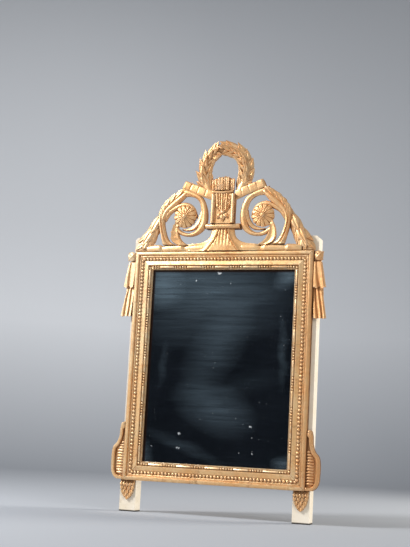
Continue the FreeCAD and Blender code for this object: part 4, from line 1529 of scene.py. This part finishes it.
# The drops: bunches of small leaves, cut like scales in five rows, that hang under the lower corners in
# front of the feet. Each is one carved and gilded block of limewood, pinned to the frame.
drop = extent("right_drop")
DROP_BLOCK = 5.5
ROOT_SUNK = 7.5
TIP_SUNK = 3.5
ROW_STEP = 0.6
drop_outline = [
    (-0.94, 0), (0.94, 0), (0.9, 0.35), (0.68, 0.68), (0.3, 0.92), (-0.3, 0.92), (-0.68, 0.68), (-0.9, 0.35),
]
# Rows from the lowest up: shares of the way down at root and tip, count, spread across, and leaf width.
drop_rows = [
    (0.62, 1, 1, 0, 13), (0.46, 0.9, 2, 0.32, 13), (0.3, 0.75, 3, 0.56, 12), (0.14, 0.56, 4, 0.74, 10),
    (0, 0.36, 5, 0.8, 9),
]


def drop_spot(across, down, forward):
    """A place on the drop, by shares of its half width from the middle and of its height from the top."""
    return drop.middle + across * drop.half_w, forward, drop.top - down * drop.height


def drop_shapes():
    """The block and its rows of leaves, each row a little in front of the one below."""
    outline = []
    for across, down in drop_outline:
        x, forward, z = drop_spot(across, down, 0)
        outline.append((x, z))
    shapes = [slab(outline, FRAME_BACK, drop.front - DROP_BLOCK, 2)]
    for row, (down, tip_down, count, spread, width) in enumerate(drop_rows):
        for number in range(count):
            across = spread * (2 * number - count + 1) / max(count - 1, 1)
            root = drop_spot(0.8 * across, down, drop.front - ROOT_SUNK + ROW_STEP * row)
            tip = drop_spot(across, tip_down - 0.06 * abs(across), drop.front - TIP_SUNK + ROW_STEP * row)
            shapes.append(leaf(root, tip, width, crown=1, rib=0.9, edge_drop=3, thickness=4, fullness=0.66))
    return shapes


make_pair("drop", "drop", drop_shapes())

# The hanger: a forged iron plate screwed to the back of the top rail. Its ring is bent from round bar and
# swings in the plate's knuckle.
give_finish(["hanger_plate", "hanger_screws", "hanging_ring"], iron)

# The studio: a pale paper floor that curves up all round, soft lamps, a dark card for the looking glass to
# face, and the camera.
FLOOR_R = 3.3
SWEEP_R = 1.6
SWEEP_STEPS = 16
SHEET_TURNS = 72
WALL_H = 5.0
BACKDROP_LOW = (172, 176, 183)
BACKDROP_LOW_SHADE = (140, 142, 146)
BACKDROP_MID = (234, 237, 242)
# Painted shade high on the wall.
BACKDROP_HIGH_SHADE = (164, 167, 172)
BACKDROP_SHADE = (172, 175, 180)
AIR_TINT = (0.93, 0.96, 1.0, 1.0)
AIR_LIGHT = 0.28
WARM = (1.0, 0.96, 0.88)
WARM_PALE = (1.0, 0.97, 0.92)
CARD_Y = -2.45
CARD_LEFT = -1.75
CARD_RIGHT = -0.25
CARD_FOOT = -0.35
CARD_TOP = 1.45
CARD_TONE = (22, 26, 32)
CAMERA_RIGHT = (0.94182, 0.33193, 0.05281)
CAMERA_UP = (0.00182, -0.16215, 0.98676)
CAMERA_BACK = (0.33610, -0.92926, -0.15332)
CAMERA_PLACE = (0.8331, -2.4289, 0.1579)
CAMERA_LENS = 73.24


def make_backdrop_paper():
    """Matt paper, greyer on the ground, with painted shade that darkens it high up and to the right."""
    finish, surface = finish_called("backdrop_paper")
    place = axes(object_place(surface))
    wall = painted(BACKDROP_MID, [
        # Painted shade: the wall darkens high up and to the right.
        (ramp(place["Z"], 1.0, 3.6), 1, BACKDROP_HIGH_SHADE), (ramp(place["X"], -2.2, 1.6), 0.8, BACKDROP_SHADE),
    ])
    # Painted shade: the ground darkens to the right.
    ground = painted(BACKDROP_LOW, [(ramp(place["X"], -0.6, 1.2), 0.8, BACKDROP_LOW_SHADE)])
    paper = laid_over(ramp(place["Z"], 0.0, 0.9), ground, wall)
    dress(surface, {"Base Color": paper, "Roughness": 0.9, "Specular IOR Level": 0.1})
    return finish


def studio_sheet(name, points, faces, finish):
    """A sheet of the studio, which isn't part of the mirror."""
    mesh = bpy.data.meshes.new(name)
    mesh.from_pydata(points, [], faces)
    mesh.shade_smooth()
    mesh.materials.append(finish)
    sheet = set_down(name, mesh)
    return sheet


def turned(line):
    """A sheet turned round the upright axis from a line of (radius, height)."""
    angles = [2 * math.pi * turn / SHEET_TURNS for turn in range(SHEET_TURNS)]
    rings = [[(r * math.cos(angle), r * math.sin(angle), z) for angle in angles] for r, z in line]
    return skin(rings, shut=False)


def lamp(name, place, aim, size, power, colour=(1, 1, 1), gloss=True):
    """A soft square lamp facing a point. Without gloss it fills shade and leaves no glint."""
    light = bpy.data.lights.new(name, "AREA")
    light.size = size
    light.energy = power
    light.color = colour
    stand = set_down(name, light)
    stand.visible_glossy = gloss
    stand.location = place
    stand.rotation_euler = (Vector(aim) - Vector(place)).to_track_quat("-Z", "Y").to_euler()


backdrop_paper = make_backdrop_paper()
studio_sheet("studio_floor", *turned([(0.001, 0), (0.6, 0), (1.5, 0), (FLOOR_R, 0)]), backdrop_paper)
sweep_line = []
for step in range(SWEEP_STEPS + 1):
    angle = math.pi / 2 * step / SWEEP_STEPS
    sweep_line.append((FLOOR_R + SWEEP_R * math.sin(angle), SWEEP_R * (1 - math.cos(angle))))
sweep_line.append((FLOOR_R + SWEEP_R, WALL_H))
sweep = studio_sheet("studio_sweep", *turned(sweep_line), backdrop_paper)

lamp("key_lamp", (-1.6, -1.6, 1.9), aim=(0, 0, 0.5), size=0.6, power=70)
lamp("left_lamp", (-2.3, -0.8, 1.4), aim=(0, 0, 0.6), size=0.8, power=16)
lamp("side_lamp", (1.7, 1.5, 1.0), aim=(0, 0, 0.4), size=1.0, power=60, colour=WARM, gloss=False)
lamp("fill_lamp", (1.8, -1.6, 0.8), aim=(0, 0, 0.4), size=1.5, power=30, colour=WARM_PALE, gloss=False)
lamp("wall_lamp", (-1.6, 2.0, 3.0), aim=(-1.2, 4.9, 1.3), size=1.5, power=25)
world = bpy.data.worlds.new("studio_air")
world.use_nodes = True
dress(world.node_tree.nodes["Background"], {"Color": AIR_TINT, "Strength": AIR_LIGHT})
bpy.context.scene.world = world

card_felt, felt_surface = finish_called("card_felt")
dress(felt_surface, {"Base Color": shade(CARD_TONE), "Roughness": 1.0})
card_corners = [
    (CARD_LEFT, CARD_Y, CARD_FOOT), (CARD_RIGHT, CARD_Y, CARD_FOOT),
    (CARD_RIGHT, CARD_Y, CARD_TOP), (CARD_LEFT, CARD_Y, CARD_TOP),
]
card = studio_sheet("dark_card", card_corners, [(0, 1, 2, 3)], card_felt)
card.visible_camera = False
for sheet in (sweep, card):
    sheet.visible_diffuse = False
    sheet.visible_shadow = False

camera_data = bpy.data.cameras.new("camera")
camera_data.lens = CAMERA_LENS
camera = set_down("camera", camera_data)
camera_axes = [(*axis, 0) for axis in (CAMERA_RIGHT, CAMERA_UP, CAMERA_BACK)]
camera.matrix_world = Matrix([*camera_axes, (*CAMERA_PLACE, 1)]).transposed()
bpy.context.scene.camera = camera
bpy.context.scene.view_settings.view_transform = "Standard"
